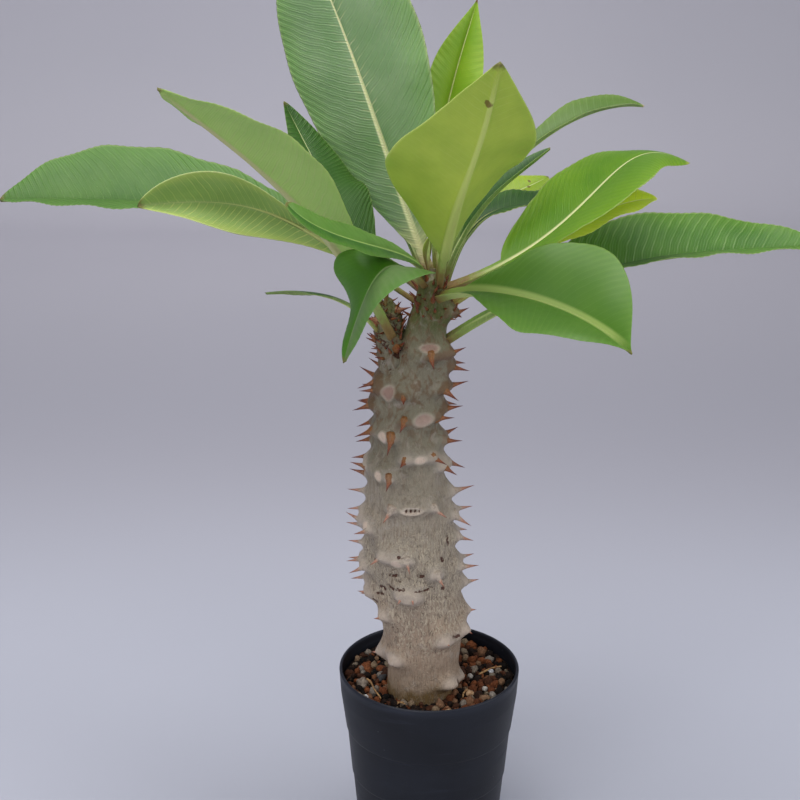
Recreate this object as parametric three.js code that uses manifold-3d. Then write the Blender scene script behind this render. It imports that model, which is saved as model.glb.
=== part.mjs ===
// A potted pachypodium. A thick grey stem carries paired thorns on raised cushions, a
// short side shoot and a crown of long leaves, and stands in a hole in granular soil in
// a small round pot. Millimetres, +Z up, front towards -Y, origin at the middle of the
// pot's underside. Azimuths are degrees around the stem: 0 at the front, 90 towards +X.

import * as THREE from 'three';
import { mergeVertices } from 'three/addons/utils/BufferGeometryUtils.js';
import Module from 'manifold-3d';

const wasm = await Module();
wasm.setup();

// Clear gap kept wherever one piece seats against another.
const SEAT_GAP = 0.33;
// Outward growth of the stem that leaves that gap to the leaves on its sloping bark.
const LEAF_ROOM = 0.5;
// Points closer together than this are merged, which clears the slivers that cuts leave.
const FINEST = 0.02;

// Pot: outside radii up the wall, with a faint step at the top of each lower band.
const POT_SIDES = 36;
const POT_WALL = 1.3;
const POT_FLOOR = 1.8;
const POT_OUTSIDE = [
  { z: 0, radius: 28.7 },
  { z: 39.6, radius: 32.2 },
  { z: 40.2, radius: 32.6 },
  { z: 61.4, radius: 34.4 },
  { z: 62, radius: 34.9 },
  { z: 77.6, radius: 36.9 },
  { z: 87.4, radius: 37.5 },
];
const POT_HEIGHT = 88;
const POT_INSIDE_HEIGHTS = [77.6, 62, 40];
const DRAIN_HOLES = { count: 6, radius: 2.5, circle: 19 };

// Soil: a level fill below the rim, its top broken up by grains.
const SOIL_TOP = 82.4;
const SOIL_GRAIN = 0.8;
const SOIL_RINGS = 8;

// Stem: centre and radius up its height. Below the soil it is a plain round root.
const STEM_SIDES = 22;
const STEM_ROOT = { bottom: 58, top: 84, x: -3.6, y: -9, radius: 13.8 };
const STEM_RING_STEP = 4;
const STEM = [
  { z: 84, x: -3.6, y: -9, radius: 13.8 },
  { z: 95, x: -2.8, y: -9, radius: 14.4 },
  { z: 108, x: -2.7, y: -9, radius: 15.9 },
  { z: 122, x: -4.2, y: -8.8, radius: 16.9 },
  { z: 140, x: -7, y: -8.4, radius: 16.9 },
  { z: 158, x: -8.4, y: -8, radius: 15.9 },
  { z: 174, x: -9.2, y: -8, radius: 14.4 },
  { z: 190, x: -9.4, y: -7.6, radius: 12.2 },
  { z: 206, x: -9, y: -7.2, radius: 11.2 },
  { z: 216, x: -7, y: -7, radius: 10.8 },
  { z: 226, x: -4.4, y: -7, radius: 9.4 },
  { z: 236, x: -2.4, y: -6.8, radius: 8 },
  { z: 248, x: 0, y: -6.6, radius: 6.6 },
  { z: 256, x: 0.2, y: -6.5, radius: 5 },
  { z: 260, x: 0.2, y: -6.5, radius: 1.6 },
];

// Side shoot: a second, shorter growing point on the left.
const SHOOT_SIDES = 12;
const SHOOT = [
  { at: [-10, -6, 208], radius: 8 },
  { at: [-13.5, -6.4, 222], radius: 7 },
  { at: [-16, -6.6, 234], radius: 5.8 },
  { at: [-16.6, -6.8, 243], radius: 4.8 },
  { at: [-16.6, -6.8, 248], radius: 1.4 },
];

// Nodes of the stem: an old leaf scar with a thorn to each side, `spread` degrees away
// from it. These are the nodes of the front half, as they stand on the plant.
const FRONT_NODES = [
  { z: 87.5, azimuth: 82, spread: 0, thorn: 2.4 },
  { z: 90, azimuth: 45, spread: 0, thorn: 0 },
  { z: 100, azimuth: -84, spread: 0, thorn: 3.2 },
  { z: 101, azimuth: -43, spread: 0, thorn: 0 },
  { z: 112, azimuth: 28, spread: 0, thorn: 2.6 },
  { z: 113, azimuth: 66, spread: 0, thorn: 2.6 },
  { z: 121, azimuth: -51, spread: 0, thorn: 3.4 },
  { z: 127, azimuth: -84, spread: 0, thorn: 4.6 },
  { z: 131, azimuth: 88, spread: 0, thorn: 5.5 },
  { z: 133, azimuth: -10, spread: 6, thorn: 3.2 },
  { z: 139, azimuth: -90, spread: 12, thorn: 7 },
  { z: 139, azimuth: 92, spread: 13, thorn: 7 },
  { z: 141, azimuth: 29, spread: 0, thorn: 5.5 },
  { z: 148, azimuth: -22, spread: 17, thorn: 5.5 },
  { z: 151, azimuth: 96, spread: 12, thorn: 6.5 },
  { z: 157, azimuth: -76, spread: 16, thorn: 7.4 },
  { z: 161, azimuth: 88, spread: 11, thorn: 7.4 },
  { z: 168, azimuth: 7, spread: 30, thorn: 6 },
  { z: 170, azimuth: 90, spread: 0, thorn: 8 },
  { z: 180, azimuth: -60, spread: 34, thorn: 7 },
  { z: 183, azimuth: 72, spread: 10, thorn: 6.8 },
  { z: 188, azimuth: 20, spread: 24, thorn: 6 },
  { z: 192, azimuth: 94, spread: 14, thorn: 7.6 },
  { z: 196, azimuth: -52, spread: 26, thorn: 7.4 },
  { z: 203, azimuth: 26, spread: 32, thorn: 6.4 },
  { z: 205, azimuth: 96, spread: 14, thorn: 7.6 },
  { z: 206, azimuth: -97, spread: 12, thorn: 7.6 },
  { z: 213, azimuth: -44, spread: 30, thorn: 7 },
  { z: 214, azimuth: 72, spread: 12, thorn: 8 },
  { z: 216, azimuth: -92, spread: 10, thorn: 9 },
  { z: 222, azimuth: 92, spread: 13, thorn: 7.4 },
  { z: 228, azimuth: 44, spread: 26, thorn: 6.6 },
  { z: 243, azimuth: 84, spread: 0, thorn: 5.4 },
];

// The back half carries the same kind of nodes on one climbing spiral.
const BACK_NODES = { count: 16, from: 118, step: 7.2, turn: 137.5, sector: 140, thorn: 7 };
const SHOOT_NODES = { count: 5, from: 0.3, to: 0.8, turn: 137.5, start: -120, thorn: 5.6 };

// Relief of a node: the swelling under each thorn and the low pad under the scar.
const THORN_CUSHION = { height: 2, across: 3.8, up: 3.6 };
const SCAR_PAD = { height: 1.3, across: 5.5, up: 4 };
const THORN_SIDES = 4;
const THORN_ROOT = 3;
const THORN_PITCH = { low: -26, high: 24 };
const THORN_FLARE = 14;

// Leaves. The midrib runs through the four points of `rib`: leaving the stem, a third
// and two thirds along, and the tip. `face` is the way the upper side looks, and `twist`
// turns it by so many degrees on the way to the tip. `width` is the full width laid
// flat, and `widest` the place of it. `fold` is how far the left and right halves stand
// up at the base, and `open` the share of that fold left at the tip. `blunt` under 1
// rounds the blade's ends, `bare` is the share of the length that is stalk, and `wave`
// the height of the ripples along the margins.
const BLADE_THICKNESS = 0.75;
const RIB_DEPTH = { stalk: 2.6, tip: 1 };
const LEAF_HABIT = { widest: 0.57, blunt: 0.8, open: 0.7, twist: 0 };
const LEAVES = [
  {
    name: 'leaf_back_large', tone: 'sheen', width: 59, fold: [-11, 21], bare: 0.08,
    rib: [[0.6, -4, 254], [-16.6, 5, 299.7], [-33.1, 17, 344.1], [-53, 32, 387]],
    face: [-0.24, -0.96, 0.17], open: 0.9, widest: 0.59, blunt: 0.6, wave: 0.6,
  },
  {
    name: 'leaf_upper_right', tone: 'bright', width: 24, fold: [46, 58], bare: 0.12,
    rib: [[1.6, -2.4, 250], [2.4, 18.3, 293.2], [8.5, 26.8, 325.6], [17.4, 30.9, 355.9]],
    face: [0.13, -0.98, 0.16], widest: 0.6, blunt: 1.2, wave: 0.3,
  },
  {
    name: 'leaf_front_up', tone: 'olive', width: 56, fold: [79, 43], bare: 0.1,
    rib: [[2.8, -9, 254.4], [7, -50, 291], [12.8, -63.9, 312.8], [19, -81.5, 345]],
    face: [0.11, 0.23, 0.97], open: 0.15, widest: 0.46, blunt: 0.85, wave: 0.4,
  },
  {
    name: 'leaf_far_right', tone: 'mid', width: 20, fold: [50, 60], bare: 0.2,
    rib: [[2, -4, 254], [25, 16.5, 289.5], [56, 34.5, 309.8], [85.4, 46.3, 313.5]],
    face: [-0.43, -0.31, 0.85], open: 0.4, widest: 0.7, blunt: 1.1, wave: 0.3,
  },
  {
    name: 'leaf_back_small', tone: 'dark', width: 9, fold: [55, 55], bare: 0.2,
    rib: [[2.5, -4, 248], [13.5, -5, 276], [28, -2.5, 292.2], [43.9, 3, 304.1]],
    face: [-0.4, -0.3, 0.85], wave: 0.2,
  },
  {
    name: 'leaf_right_mid', tone: 'bright', width: 57, fold: [61, 16], bare: 0.14,
    rib: [[3, -8, 252], [47.5, -11, 278], [70.5, -8, 300], [94.5, -8, 300.2]],
    face: [-0.17, 0.03, 0.98], open: -0.2, widest: 0.46, blunt: 0.63, wave: 0.3,
  },
  {
    name: 'leaf_right_long', tone: 'dark', width: 44, fold: [60, 37], bare: 0.3,
    rib: [[1.5, -8.5, 230], [48.4, -3.5, 253.5], [97.4, 13, 260.4], [153.5, 14.9, 264.3]],
    face: [-0.18, -0.13, 0.98], open: 0.62, widest: 0.43, blunt: 0.71, wave: 0.5,
  },
  {
    name: 'leaf_front_right', tone: 'mid', width: 53, fold: [56, 19], bare: 0.1,
    rib: [[1, -9, 249], [21, -39.8, 259.9], [45.4, -58, 258.1], [63.1, -93, 253.6]],
    face: [-0.13, -0.11, 0.99], widest: 0.58, blunt: 1.41, wave: 0.4,
  },
  {
    name: 'leaf_right_yellow', tone: 'young', width: 27, fold: [34, 30], bare: 0.16,
    rib: [[2.5, -6.5, 243], [37, -5, 266], [62, -5, 281], [84, -3, 286]],
    face: [-0.2, -0.35, 0.9], wave: 0.9,
  },
  {
    name: 'leaf_right_small', tone: 'dark', width: 20, fold: [30, 30], bare: 0.2,
    rib: [[2.5, -4.5, 242], [17, 16, 272], [35, 24, 278], [58, 29, 284]],
    face: [-0.3, -0.2, 0.9], wave: 0.6,
  },
  {
    name: 'leaf_right_tiny', tone: 'young', width: 17, fold: [20, 20], bare: 0.22,
    rib: [[0, -2, 242], [15, 30, 267.6], [32, 40.5, 278.8], [48, 48, 284.8]],
    face: [-0.3, -0.5, 0.8], widest: 0.66, wave: 0.4,
  },
  {
    name: 'leaf_left_long', tone: 'mid', width: 53, fold: [14, 52], bare: 0.16,
    rib: [[-2.5, -1.5, 249.5], [-57.5, 43, 266.8], [-121.2, 49, 274.5], [-175, 46, 275.7]],
    face: [0, 0, 1], open: 1.15, widest: 0.61, blunt: 0.9, wave: 0.5,
  },
  {
    name: 'leaf_left_under', tone: 'olive', width: 34, fold: [-33, -33], bare: 0.12,
    rib: [[-3, -5, 245.5], [-44.3, 7, 269.8], [-74.3, 11, 280.5], [-111.8, 4, 281.2]],
    face: [0.33, 0.85, 0.42], twist: 60, open: 1.35, widest: 0.7, blunt: 0.64, wave: 0.3,
  },
  {
    name: 'leaf_left_up', tone: 'olive', width: 53, fold: [2, 61], bare: 0.12,
    rib: [[-15, -10.4, 234], [-40.3, -38.2, 282.1], [-66.7, -56.7, 313.2], [-88.6, -78.5, 336.7]],
    face: [0.05, 0.63, 0.78], widest: 0.55, blunt: 1.04, wave: 0.5,
  },
  {
    name: 'leaf_left_dark', tone: 'dark', width: 36, fold: [58, -18], bare: 0.12,
    rib: [[-16, -5.5, 238], [-35.5, -9.5, 284], [-44, 1, 299], [-55.5, 8, 320.4]],
    face: [0.42, -0.89, -0.16], open: 0.8, widest: 0.31, blunt: 0.75, wave: 0.4,
  },
  {
    name: 'leaf_front_narrow', tone: 'bright', width: 15, fold: [2, 36], bare: 0.2,
    rib: [[-1, -8, 248.4], [-8, -19, 266.8], [-28.2, -62, 283.9], [-48.3, -85, 301.4]],
    face: [0.31, -0.24, 0.92], widest: 0.62, blunt: 0.62, wave: 0.3,
  },
  {
    name: 'leaf_front_droop', tone: 'mid', width: 40, fold: [-15, 53], bare: 0.28,
    rib: [[-2.2, -8.5, 254.4], [-13.8, -45, 270.7], [-22.8, -60, 266.5], [-31.8, -68, 242]],
    face: [0.28, 0.18, 0.94], twist: 71, open: 0.3, widest: 0.32, blunt: 0.89, wave: 0.3,
  },
  {
    name: 'leaf_left_thin', tone: 'dark', width: 15, fold: [6, 6], bare: 0.25,
    rib: [[-16, -7.5, 230], [-30, -8, 246], [-46, -4, 250], [-64, 0, 249]],
    face: [0, 0.33, 0.95], wave: 0.4,
  },
  {
    name: 'leaf_back_hidden', tone: 'dark', width: 26, fold: [30, 30], bare: 0.18,
    rib: [[-1.6, -2.4, 251.5], [-12.5, 16, 273], [-21.7, 35, 280.4], [-31.7, 52, 286.5]],
    face: [0.4, -0.5, 0.75], wave: 0.4,
  },
];

const TONES = {
  sheen: 0x7f9a78,
  bright: 0x6d9b2a,
  mid: 0x557f35,
  dark: 0x35591f,
  olive: 0x8a9a45,
  young: 0x8fa63a,
};

const vec = (point) => new THREE.Vector3(...point);
const radians = THREE.MathUtils.degToRad;
const mix = THREE.MathUtils.lerp;

// Repeatable random numbers from 0 to 1.
function dice(seed) {
  let state = seed;
  return () => {
    state = (state + 0x6d2b79f5) | 0;
    let word = Math.imul(state ^ (state >>> 15), 1 | state);
    word = (word + Math.imul(word ^ (word >>> 7), 61 | word)) ^ word;
    return ((word ^ (word >>> 14)) >>> 0) / 4294967296;
  };
}

// Turns a closed surface into a solid, whichever way round its faces are.
function solidFrom(geometry, finest = 1e-4) {
  geometry.deleteAttribute('normal');
  geometry.deleteAttribute('uv');
  const merged = mergeVertices(geometry, finest);
  const places = merged.getAttribute('position').array;
  const corner = (index) => new THREE.Vector3().fromArray(places, 3 * index);
  const triangles = [];
  let volume = 0;
  for (let i = 0; i < merged.index.count; i += 3) {
    const [a, b, c] = merged.index.array.slice(i, i + 3);
    if (a === b || b === c || c === a) continue;
    triangles.push([a, b, c]);
    volume += corner(a).dot(corner(b).cross(corner(c)));
  }
  const facing = volume < 0 ? triangles.map(([a, b, c]) => [a, c, b]) : triangles;
  return new wasm.Manifold(new wasm.Mesh({
    numProp: 3,
    vertProperties: Float32Array.from(places),
    triVerts: Uint32Array.from(facing.flat()),
  }));
}

// A closed body over a row of rings with equal counts, its ends closed on two points.
// Quads from column `mirrored` on are split the other way.
function loft(rings, start, end, mirrored = Infinity) {
  const count = rings[0].length;
  const points = [...rings.flat(), start, end];
  const first = points.length - 2;
  const last = points.length - 1;
  const index = [];
  for (let j = 0; j < count; j += 1) {
    const next = (j + 1) % count;
    for (let i = 0; i + 1 < rings.length; i += 1) {
      const a = i * count + j;
      const b = i * count + next;
      const c = a + count;
      const d = b + count;
      if (j < mirrored) index.push(a, b, d, a, d, c);
      else index.push(a, b, c, b, d, c);
    }
    const top = (rings.length - 1) * count;
    index.push(first, next, j, last, top + j, top + next);
  }
  const geometry = new THREE.BufferGeometry().setFromPoints(points);
  geometry.setIndex(index);
  return solidFrom(geometry);
}

// The direction an azimuth points in, seen from above.
function outward(azimuth) {
  return vec([Math.sin(radians(azimuth)), -Math.cos(radians(azimuth)), 0]);
}

function circle(centre, radius, sides) {
  return Array.from({ length: sides }, (_, j) => (
    outward((360 * j) / sides).multiplyScalar(radius).add(centre)
  ));
}

// Smooth value between rows of a table kept in rising order of one key.
function along(rows, key, value, at) {
  const clamped = THREE.MathUtils.clamp(at, rows[0][key], rows[rows.length - 1][key]);
  const upper = Math.max(1, rows.findIndex((row) => row[key] >= clamped));
  const share = (clamped - rows[upper - 1][key]) / (rows[upper][key] - rows[upper - 1][key]);
  const pick = (i) => rows[THREE.MathUtils.clamp(i, 0, rows.length - 1)][value];
  const near = [pick(upper - 2), pick(upper - 1), pick(upper), pick(upper + 1)];
  const curve = new THREE.SplineCurve(near.map((v, i) => new THREE.Vector2(i, v)));
  return curve.getPoint((1 + share) / 3).y;
}

function potRadius(z) {
  const upper = Math.max(1, POT_OUTSIDE.findIndex((row) => row.z >= z));
  const [low, high] = [POT_OUTSIDE[upper - 1], POT_OUTSIDE[upper]];
  return mix(low.radius, high.radius, (z - low.z) / (high.z - low.z));
}

function makePot() {
  const rim = POT_OUTSIDE[POT_OUTSIDE.length - 1];
  const outline = [
    [0, 0],
    ...POT_OUTSIDE.map(({ z, radius }) => [radius, z]),
    [rim.radius - 0.5, POT_HEIGHT],
    [rim.radius - POT_WALL + 0.4, POT_HEIGHT],
    [rim.radius - POT_WALL, rim.z],
    ...POT_INSIDE_HEIGHTS.map((z) => [potRadius(z) - POT_WALL, z]),
    [potRadius(POT_FLOOR) - POT_WALL, POT_FLOOR],
    [0, POT_FLOOR],
  ];
  const wall = new THREE.LatheGeometry(outline.map((p) => new THREE.Vector2(...p)), POT_SIDES);
  let pot = solidFrom(wall.rotateX(Math.PI / 2));
  for (let i = 0; i < DRAIN_HOLES.count; i += 1) {
    const drill = new THREE.CylinderGeometry(DRAIN_HOLES.radius, DRAIN_HOLES.radius, 9, 12);
    const centre = outward((360 * i) / DRAIN_HOLES.count).multiplyScalar(DRAIN_HOLES.circle);
    drill.rotateX(Math.PI / 2).translate(centre.x, centre.y, 0);
    pot = pot.subtract(solidFrom(drill));
  }
  return pot;
}

function makeSoil() {
  const random = dice(11);
  const fit = POT_WALL + SEAT_GAP;
  const bottom = POT_FLOOR + SEAT_GAP;
  const levels = [bottom, ...POT_INSIDE_HEIGHTS.toReversed(), SOIL_TOP - 1];
  const ring = (radius, z) => circle(vec([0, 0, z]), radius, POT_SIDES);
  const rings = levels.map((z) => ring(potRadius(z) - fit, z));
  const edge = potRadius(SOIL_TOP) - fit;
  for (let i = SOIL_RINGS; i > 0; i -= 1) {
    const grains = ring((edge * i) / SOIL_RINGS, SOIL_TOP);
    for (const grain of grains) {
      grain.z += SOIL_GRAIN * (random() - 0.5) * 2 * Math.min(1, SOIL_RINGS - i + 0.4);
    }
    rings.push(grains);
  }
  const soil = loft(rings, vec([0, 0, bottom]), vec([0, 0, SOIL_TOP]));
  const { bottom: root, x, y, radius } = STEM_ROOT;
  const hole = [root - SEAT_GAP, POT_HEIGHT].map((z) => (
    circle(vec([x, y, z]), radius + SEAT_GAP, STEM_SIDES)
  ));
  return soil.subtract(loft(hole, vec([x, y, root - SEAT_GAP]), vec([x, y, POT_HEIGHT])));
}

// Every thorn and scar of the main stem, as a height and an azimuth on it.
function stemNodes() {
  const nodes = [...FRONT_NODES];
  for (let i = 0; i < BACK_NODES.count; i += 1) {
    const wander = ((i * BACK_NODES.turn) % BACK_NODES.sector) - BACK_NODES.sector / 2;
    nodes.push({
      z: BACK_NODES.from + BACK_NODES.step * i,
      azimuth: 180 + wander,
      spread: 20 + 0.5 * i,
      thorn: i < 2 ? 3.5 : BACK_NODES.thorn,
    });
  }
  return nodes;
}

function nodeSides({ azimuth, spread }) {
  return spread ? [azimuth - spread, azimuth + spread] : [azimuth];
}

function swelling(shape, radius, turn, rise) {
  const wrapped = THREE.MathUtils.euclideanModulo(turn + 180, 360) - 180;
  const across = (radians(wrapped) * radius) / shape.across;
  const up = rise / shape.up;
  return shape.height * Math.exp(-across * across - up * up);
}

// Distance from the stem's centre line to its bark.
function barkRadius(nodes, z, azimuth) {
  const plain = along(STEM, 'z', 'radius', z);
  let bumps = 0;
  for (const node of nodes) {
    if (Math.abs(node.z - z) > 12) continue;
    bumps += swelling(SCAR_PAD, plain, azimuth - node.azimuth, z - node.z);
    for (const side of nodeSides(node)) {
      bumps += swelling(THORN_CUSHION, plain, azimuth - side, z - node.z);
    }
  }
  return plain + Math.min(bumps, 3.4) * THREE.MathUtils.smoothstep(z, 84, 90);
}

// A thorn: a swollen foot sunk into the bark and a straight slender point.
function makeThorn(root, direction, length, grow) {
  const foot = 0.55 + 0.17 * length;
  const spread = 1.4 * grow;
  const outline = [
    [0, -THORN_ROOT],
    [1.25 * foot + spread, -THORN_ROOT],
    [foot + spread, 0.6],
    [0.42 * foot + 0.1 + spread, 0.42 * length],
    [0, length + 3 * grow],
  ];
  const spike = new THREE.LatheGeometry(outline.map((p) => new THREE.Vector2(...p)), THORN_SIDES);
  const turn = new THREE.Quaternion().setFromUnitVectors(vec([0, 1, 0]), direction);
  return solidFrom(spike.applyQuaternion(turn).translate(root.x, root.y, root.z));
}

// The stem with its side shoot and thorns. `grow` thickens all of it evenly.
function makeStem(grow = 0) {
  const random = dice(5);
  const nodes = stemNodes();
  const { bottom, top, x, y, radius } = STEM_ROOT;
  const rings = [bottom, top].map((z) => circle(vec([x, y, z]), radius + grow, STEM_SIDES));
  const height = STEM[STEM.length - 1].z;
  const centre = (z) => vec([along(STEM, 'z', 'x', z), along(STEM, 'z', 'y', z), z]);
  const bark = (z, azimuth) => (
    outward(azimuth).multiplyScalar(barkRadius(nodes, z, azimuth) + grow).add(centre(z))
  );
  for (let z = top + STEM_RING_STEP; z < height; z += STEM_RING_STEP) {
    rings.push(Array.from({ length: STEM_SIDES }, (_, j) => bark(z, (360 * j) / STEM_SIDES)));
  }
  let stem = loft(rings, vec([x, y, bottom]), centre(height + grow));

  const shootLine = new THREE.CatmullRomCurve3(SHOOT.map(({ at }) => vec(at)));
  const shootRings = SHOOT.map(({ at, radius: girth }) => circle(vec(at), girth + grow, SHOOT_SIDES));
  const shootTip = vec(SHOOT[SHOOT.length - 1].at).add(vec([0, 0, 1 + grow]));
  stem = stem.add(loft(shootRings, vec(SHOOT[0].at), shootTip));

  const aim = (azimuth, flare, pitch) => (
    outward(azimuth + flare).multiplyScalar(Math.cos(pitch)).add(vec([0, 0, Math.sin(pitch)]))
  );
  for (const node of nodes) {
    for (const side of nodeSides(node)) {
      const climb = THREE.MathUtils.smoothstep(node.z, 190, 240) * 14;
      const pitch = radians(mix(THORN_PITCH.low, THORN_PITCH.high, random()) + climb);
      const flare = Math.sign(side - node.azimuth) * THORN_FLARE + 8 * (random() - 0.5);
      if (!node.thorn) continue;
      const size = node.thorn * mix(0.92, 1.08, random());
      stem = stem.add(makeThorn(bark(node.z, side), aim(side, flare, pitch), size, grow));
    }
  }
  for (let i = 0; i < SHOOT_NODES.count; i += 1) {
    const share = mix(SHOOT_NODES.from, SHOOT_NODES.to, i / (SHOOT_NODES.count - 1));
    const azimuth = SHOOT_NODES.start + SHOOT_NODES.turn * i;
    const girth = along(SHOOT.map((row, k) => ({ k, ...row })), 'k', 'radius', share * 4) + grow;
    const root = shootLine.getPoint(share).addScaledVector(outward(azimuth), girth);
    const pitch = radians(mix(5, 45, random()));
    stem = stem.add(makeThorn(root, aim(azimuth, 0, pitch), SHOOT_NODES.thorn, grow));
  }
  return stem;
}

// A smooth midrib through four points a third of the way apart.
function midrib([start, low, high, tip]) {
  const handle = (weights) => (
    [start, low, high, tip].reduce((sum, p, i) => sum.addScaledVector(p, weights[i] / 6), vec([0, 0, 0]))
  );
  return new THREE.CubicBezierCurve3(start, handle([-5, 18, -9, 2]), handle([2, -9, 18, -5]), tip);
}

// One leaf: a stalk that widens into a folded, waved blade over a raised midrib.
function makeLeaf(traits, seed) {
  const leaf = { ...LEAF_HABIT, ...traits };
  const curve = midrib(leaf.rib.map(vec));
  const random = dice(seed);
  const phases = [random() * 6, random() * 6];
  const length = curve.getLength();
  const stations = Math.round(THREE.MathUtils.clamp(length / 11, 7, 13));
  const stalk = 0.6 + 0.03 * leaf.width;
  const peak = Math.log(0.5) / Math.log(leaf.widest);

  const halfWidth = (t) => {
    const share = Math.max(0, (t - leaf.bare) / (1 - leaf.bare));
    const blade = (leaf.width / 2) * Math.sin(Math.PI * share ** peak) ** leaf.blunt;
    return Math.max(blade || 0, stalk * (1 - share) ** 2, 0.4);
  };
  const frame = (t) => {
    const forward = curve.getTangent(t);
    const right = forward.clone().cross(vec(leaf.face)).normalize();
    right.applyAxisAngle(forward, radians(leaf.twist * t));
    return { right, up: right.clone().cross(forward) };
  };
  const surface = (t, across) => {
    const { right, up } = frame(t);
    const half = across < 0 ? 0 : 1;
    const reach = halfWidth(t) * Math.abs(across);
    const angle = radians(leaf.fold[half] * mix(1, leaf.open, t) - 10 * Math.abs(across));
    const ripple = Math.sin(t * length * 0.24 + phases[half]) * across * across;
    const rise = reach * Math.sin(angle) + leaf.wave * ripple * Math.min(1, reach / 8);
    return curve.getPoint(t)
      .addScaledVector(right, Math.sign(across) * reach * Math.cos(angle))
      .addScaledVector(up, rise);
  };
  // Square to the surface, but straight up where the leaf is narrow.
  const normal = (t, across) => {
    const low = THREE.MathUtils.clamp(t, 0.01, 0.99);
    const ahead = surface(low + 0.01, across).sub(surface(low - 0.01, across));
    const { right, up } = frame(t);
    const beside = across
      ? surface(t, across * 1.02).sub(surface(t, across * 0.98)).multiplyScalar(Math.sign(across))
      : right;
    return up.lerp(beside.cross(ahead).normalize(), THREE.MathUtils.smoothstep(halfWidth(t), 1, 4));
  };
  const rings = [];
  for (let i = 0; i <= stations; i += 1) {
    const t = i / stations;
    const rib = Math.min(0.4, 1.2 / halfWidth(t));
    const columns = [-1, -0.55 - rib / 4, -rib, 0, rib, 0.55 + rib / 4, 1];
    const depth = mix(RIB_DEPTH.stalk, RIB_DEPTH.tip, Math.min(1, 1.6 * t)) * mix(0.75, 1, leaf.width / 50);
    const thickness = (across) => (across ? BLADE_THICKNESS : Math.max(depth, BLADE_THICKNESS + 0.2));
    const above = columns.map((across) => surface(t, across));
    const below = columns.map((across, k) => (
      above[k].clone().addScaledVector(normal(t, across), -thickness(across))
    ));
    rings.push([...above, ...below.reverse()]);
  }
  const middle = (ring) => ring[3].clone().lerp(ring[10], 0.5);
  const tip = middle(rings[stations]).addScaledVector(curve.getTangent(1), 0.5);
  return loft(rings, middle(rings[0]), tip, 7);
}

// The largest connected piece of a solid.
function mainPiece(solid) {
  return solid.decompose().sort((a, b) => b.volume() - a.volume())[0];
}

function geometryOf(solid) {
  const { vertProperties, triVerts } = solid.getMesh();
  const geometry = new THREE.BufferGeometry();
  geometry.setAttribute('position', new THREE.BufferAttribute(vertProperties, 3));
  geometry.setIndex(new THREE.BufferAttribute(triVerts, 1));
  return geometry;
}

function meshOf(name, solid, color, roughness) {
  const geometry = geometryOf(solidFrom(geometryOf(solid.simplify(FINEST)), FINEST));
  geometry.computeVertexNormals();
  const mesh = new THREE.Mesh(geometry, new THREE.MeshStandardMaterial({
    color,
    roughness,
    metalness: 0,
    flatShading: true,
  }));
  mesh.name = name;
  return mesh;
}

const plant = new THREE.Group();
plant.add(meshOf('pot', makePot(), 0x24272c, 0.45));
plant.add(meshOf('soil', makeSoil(), 0x5a3a28, 0.95));
plant.add(meshOf('stem', makeStem(), 0x95907f, 0.85));

const stemRoom = makeStem(LEAF_ROOM);
LEAVES.forEach((leaf, i) => {
  const solid = mainPiece(makeLeaf(leaf, 20 + i).subtract(stemRoom));
  plant.add(meshOf(leaf.name, solid, TONES[leaf.tone], 0.5));
});

export default plant;
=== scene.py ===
"""Looks of a potted pachypodium.

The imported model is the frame. The pot, the soil, the stem and every leaf are replaced by
finer pieces that keep their form. Sizes are millimetres until a mesh is finished, with
+Z up and the front towards -Y. Azimuths are degrees around the stem: 0 at the front and
90 towards +X.
"""

import logging
import math
from dataclasses import dataclass, field, replace
from enum import Enum
from typing import Optional, Sequence, Union

import bpy
import numpy as np
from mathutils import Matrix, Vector, noise

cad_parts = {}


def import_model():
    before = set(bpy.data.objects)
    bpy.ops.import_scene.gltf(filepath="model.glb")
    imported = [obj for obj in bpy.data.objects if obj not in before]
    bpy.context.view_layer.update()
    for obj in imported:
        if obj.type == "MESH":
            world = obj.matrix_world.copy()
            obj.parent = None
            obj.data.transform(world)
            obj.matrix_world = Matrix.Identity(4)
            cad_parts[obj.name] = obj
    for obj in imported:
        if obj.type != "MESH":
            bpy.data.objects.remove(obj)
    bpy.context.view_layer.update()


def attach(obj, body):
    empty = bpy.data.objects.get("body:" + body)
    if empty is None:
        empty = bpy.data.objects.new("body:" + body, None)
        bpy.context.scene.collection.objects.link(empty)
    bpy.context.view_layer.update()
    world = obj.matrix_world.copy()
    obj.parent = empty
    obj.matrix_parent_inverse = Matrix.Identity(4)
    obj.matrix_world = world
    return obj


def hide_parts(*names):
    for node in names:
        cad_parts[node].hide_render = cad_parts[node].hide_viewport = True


MM = 0.001
BODY = "root"
MASK = 0xFFFFFFFF
DICE_STEP = 0x6D2B79F5

# the angle in degrees from one node, scale or thorn to the next one that grew
GOLDEN_TURN = 137.5

# how far a side vein runs towards the tip for each millimetre across, and how it bends
VEIN_SLOPE = 0.47
VEIN_CURVE = 0.012

# the names of the four places that a leaf's midrib runs through
RIB = ("Rib start", "Rib low", "Rib high", "Rib tip")

Point = tuple[float, float, float]
Colour = tuple[float, float, float, float]
Value = Union["Wire", float, Sequence[float]]

log = logging.getLogger("pachypodium")


def tone(red: int, green: int, blue: int) -> Colour:
    """A colour as the eye sees it, 0 to 255, turned into light values."""
    shares = [(level / 255) ** 2.2 for level in (red, green, blue)]
    return (*shares, 1.0)


def mix(low: float, high: float, share: float) -> float:
    """The value a share of the way from low to high."""
    return low + (high - low) * share


def ramp(value: np.ndarray, low: float, high: float) -> np.ndarray:
    """Smooth step from 0 at low to 1 at high."""
    share = np.clip((np.asarray(value, float) - low) / (high - low), 0, 1)
    return share * share * (3 - 2 * share)


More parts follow.
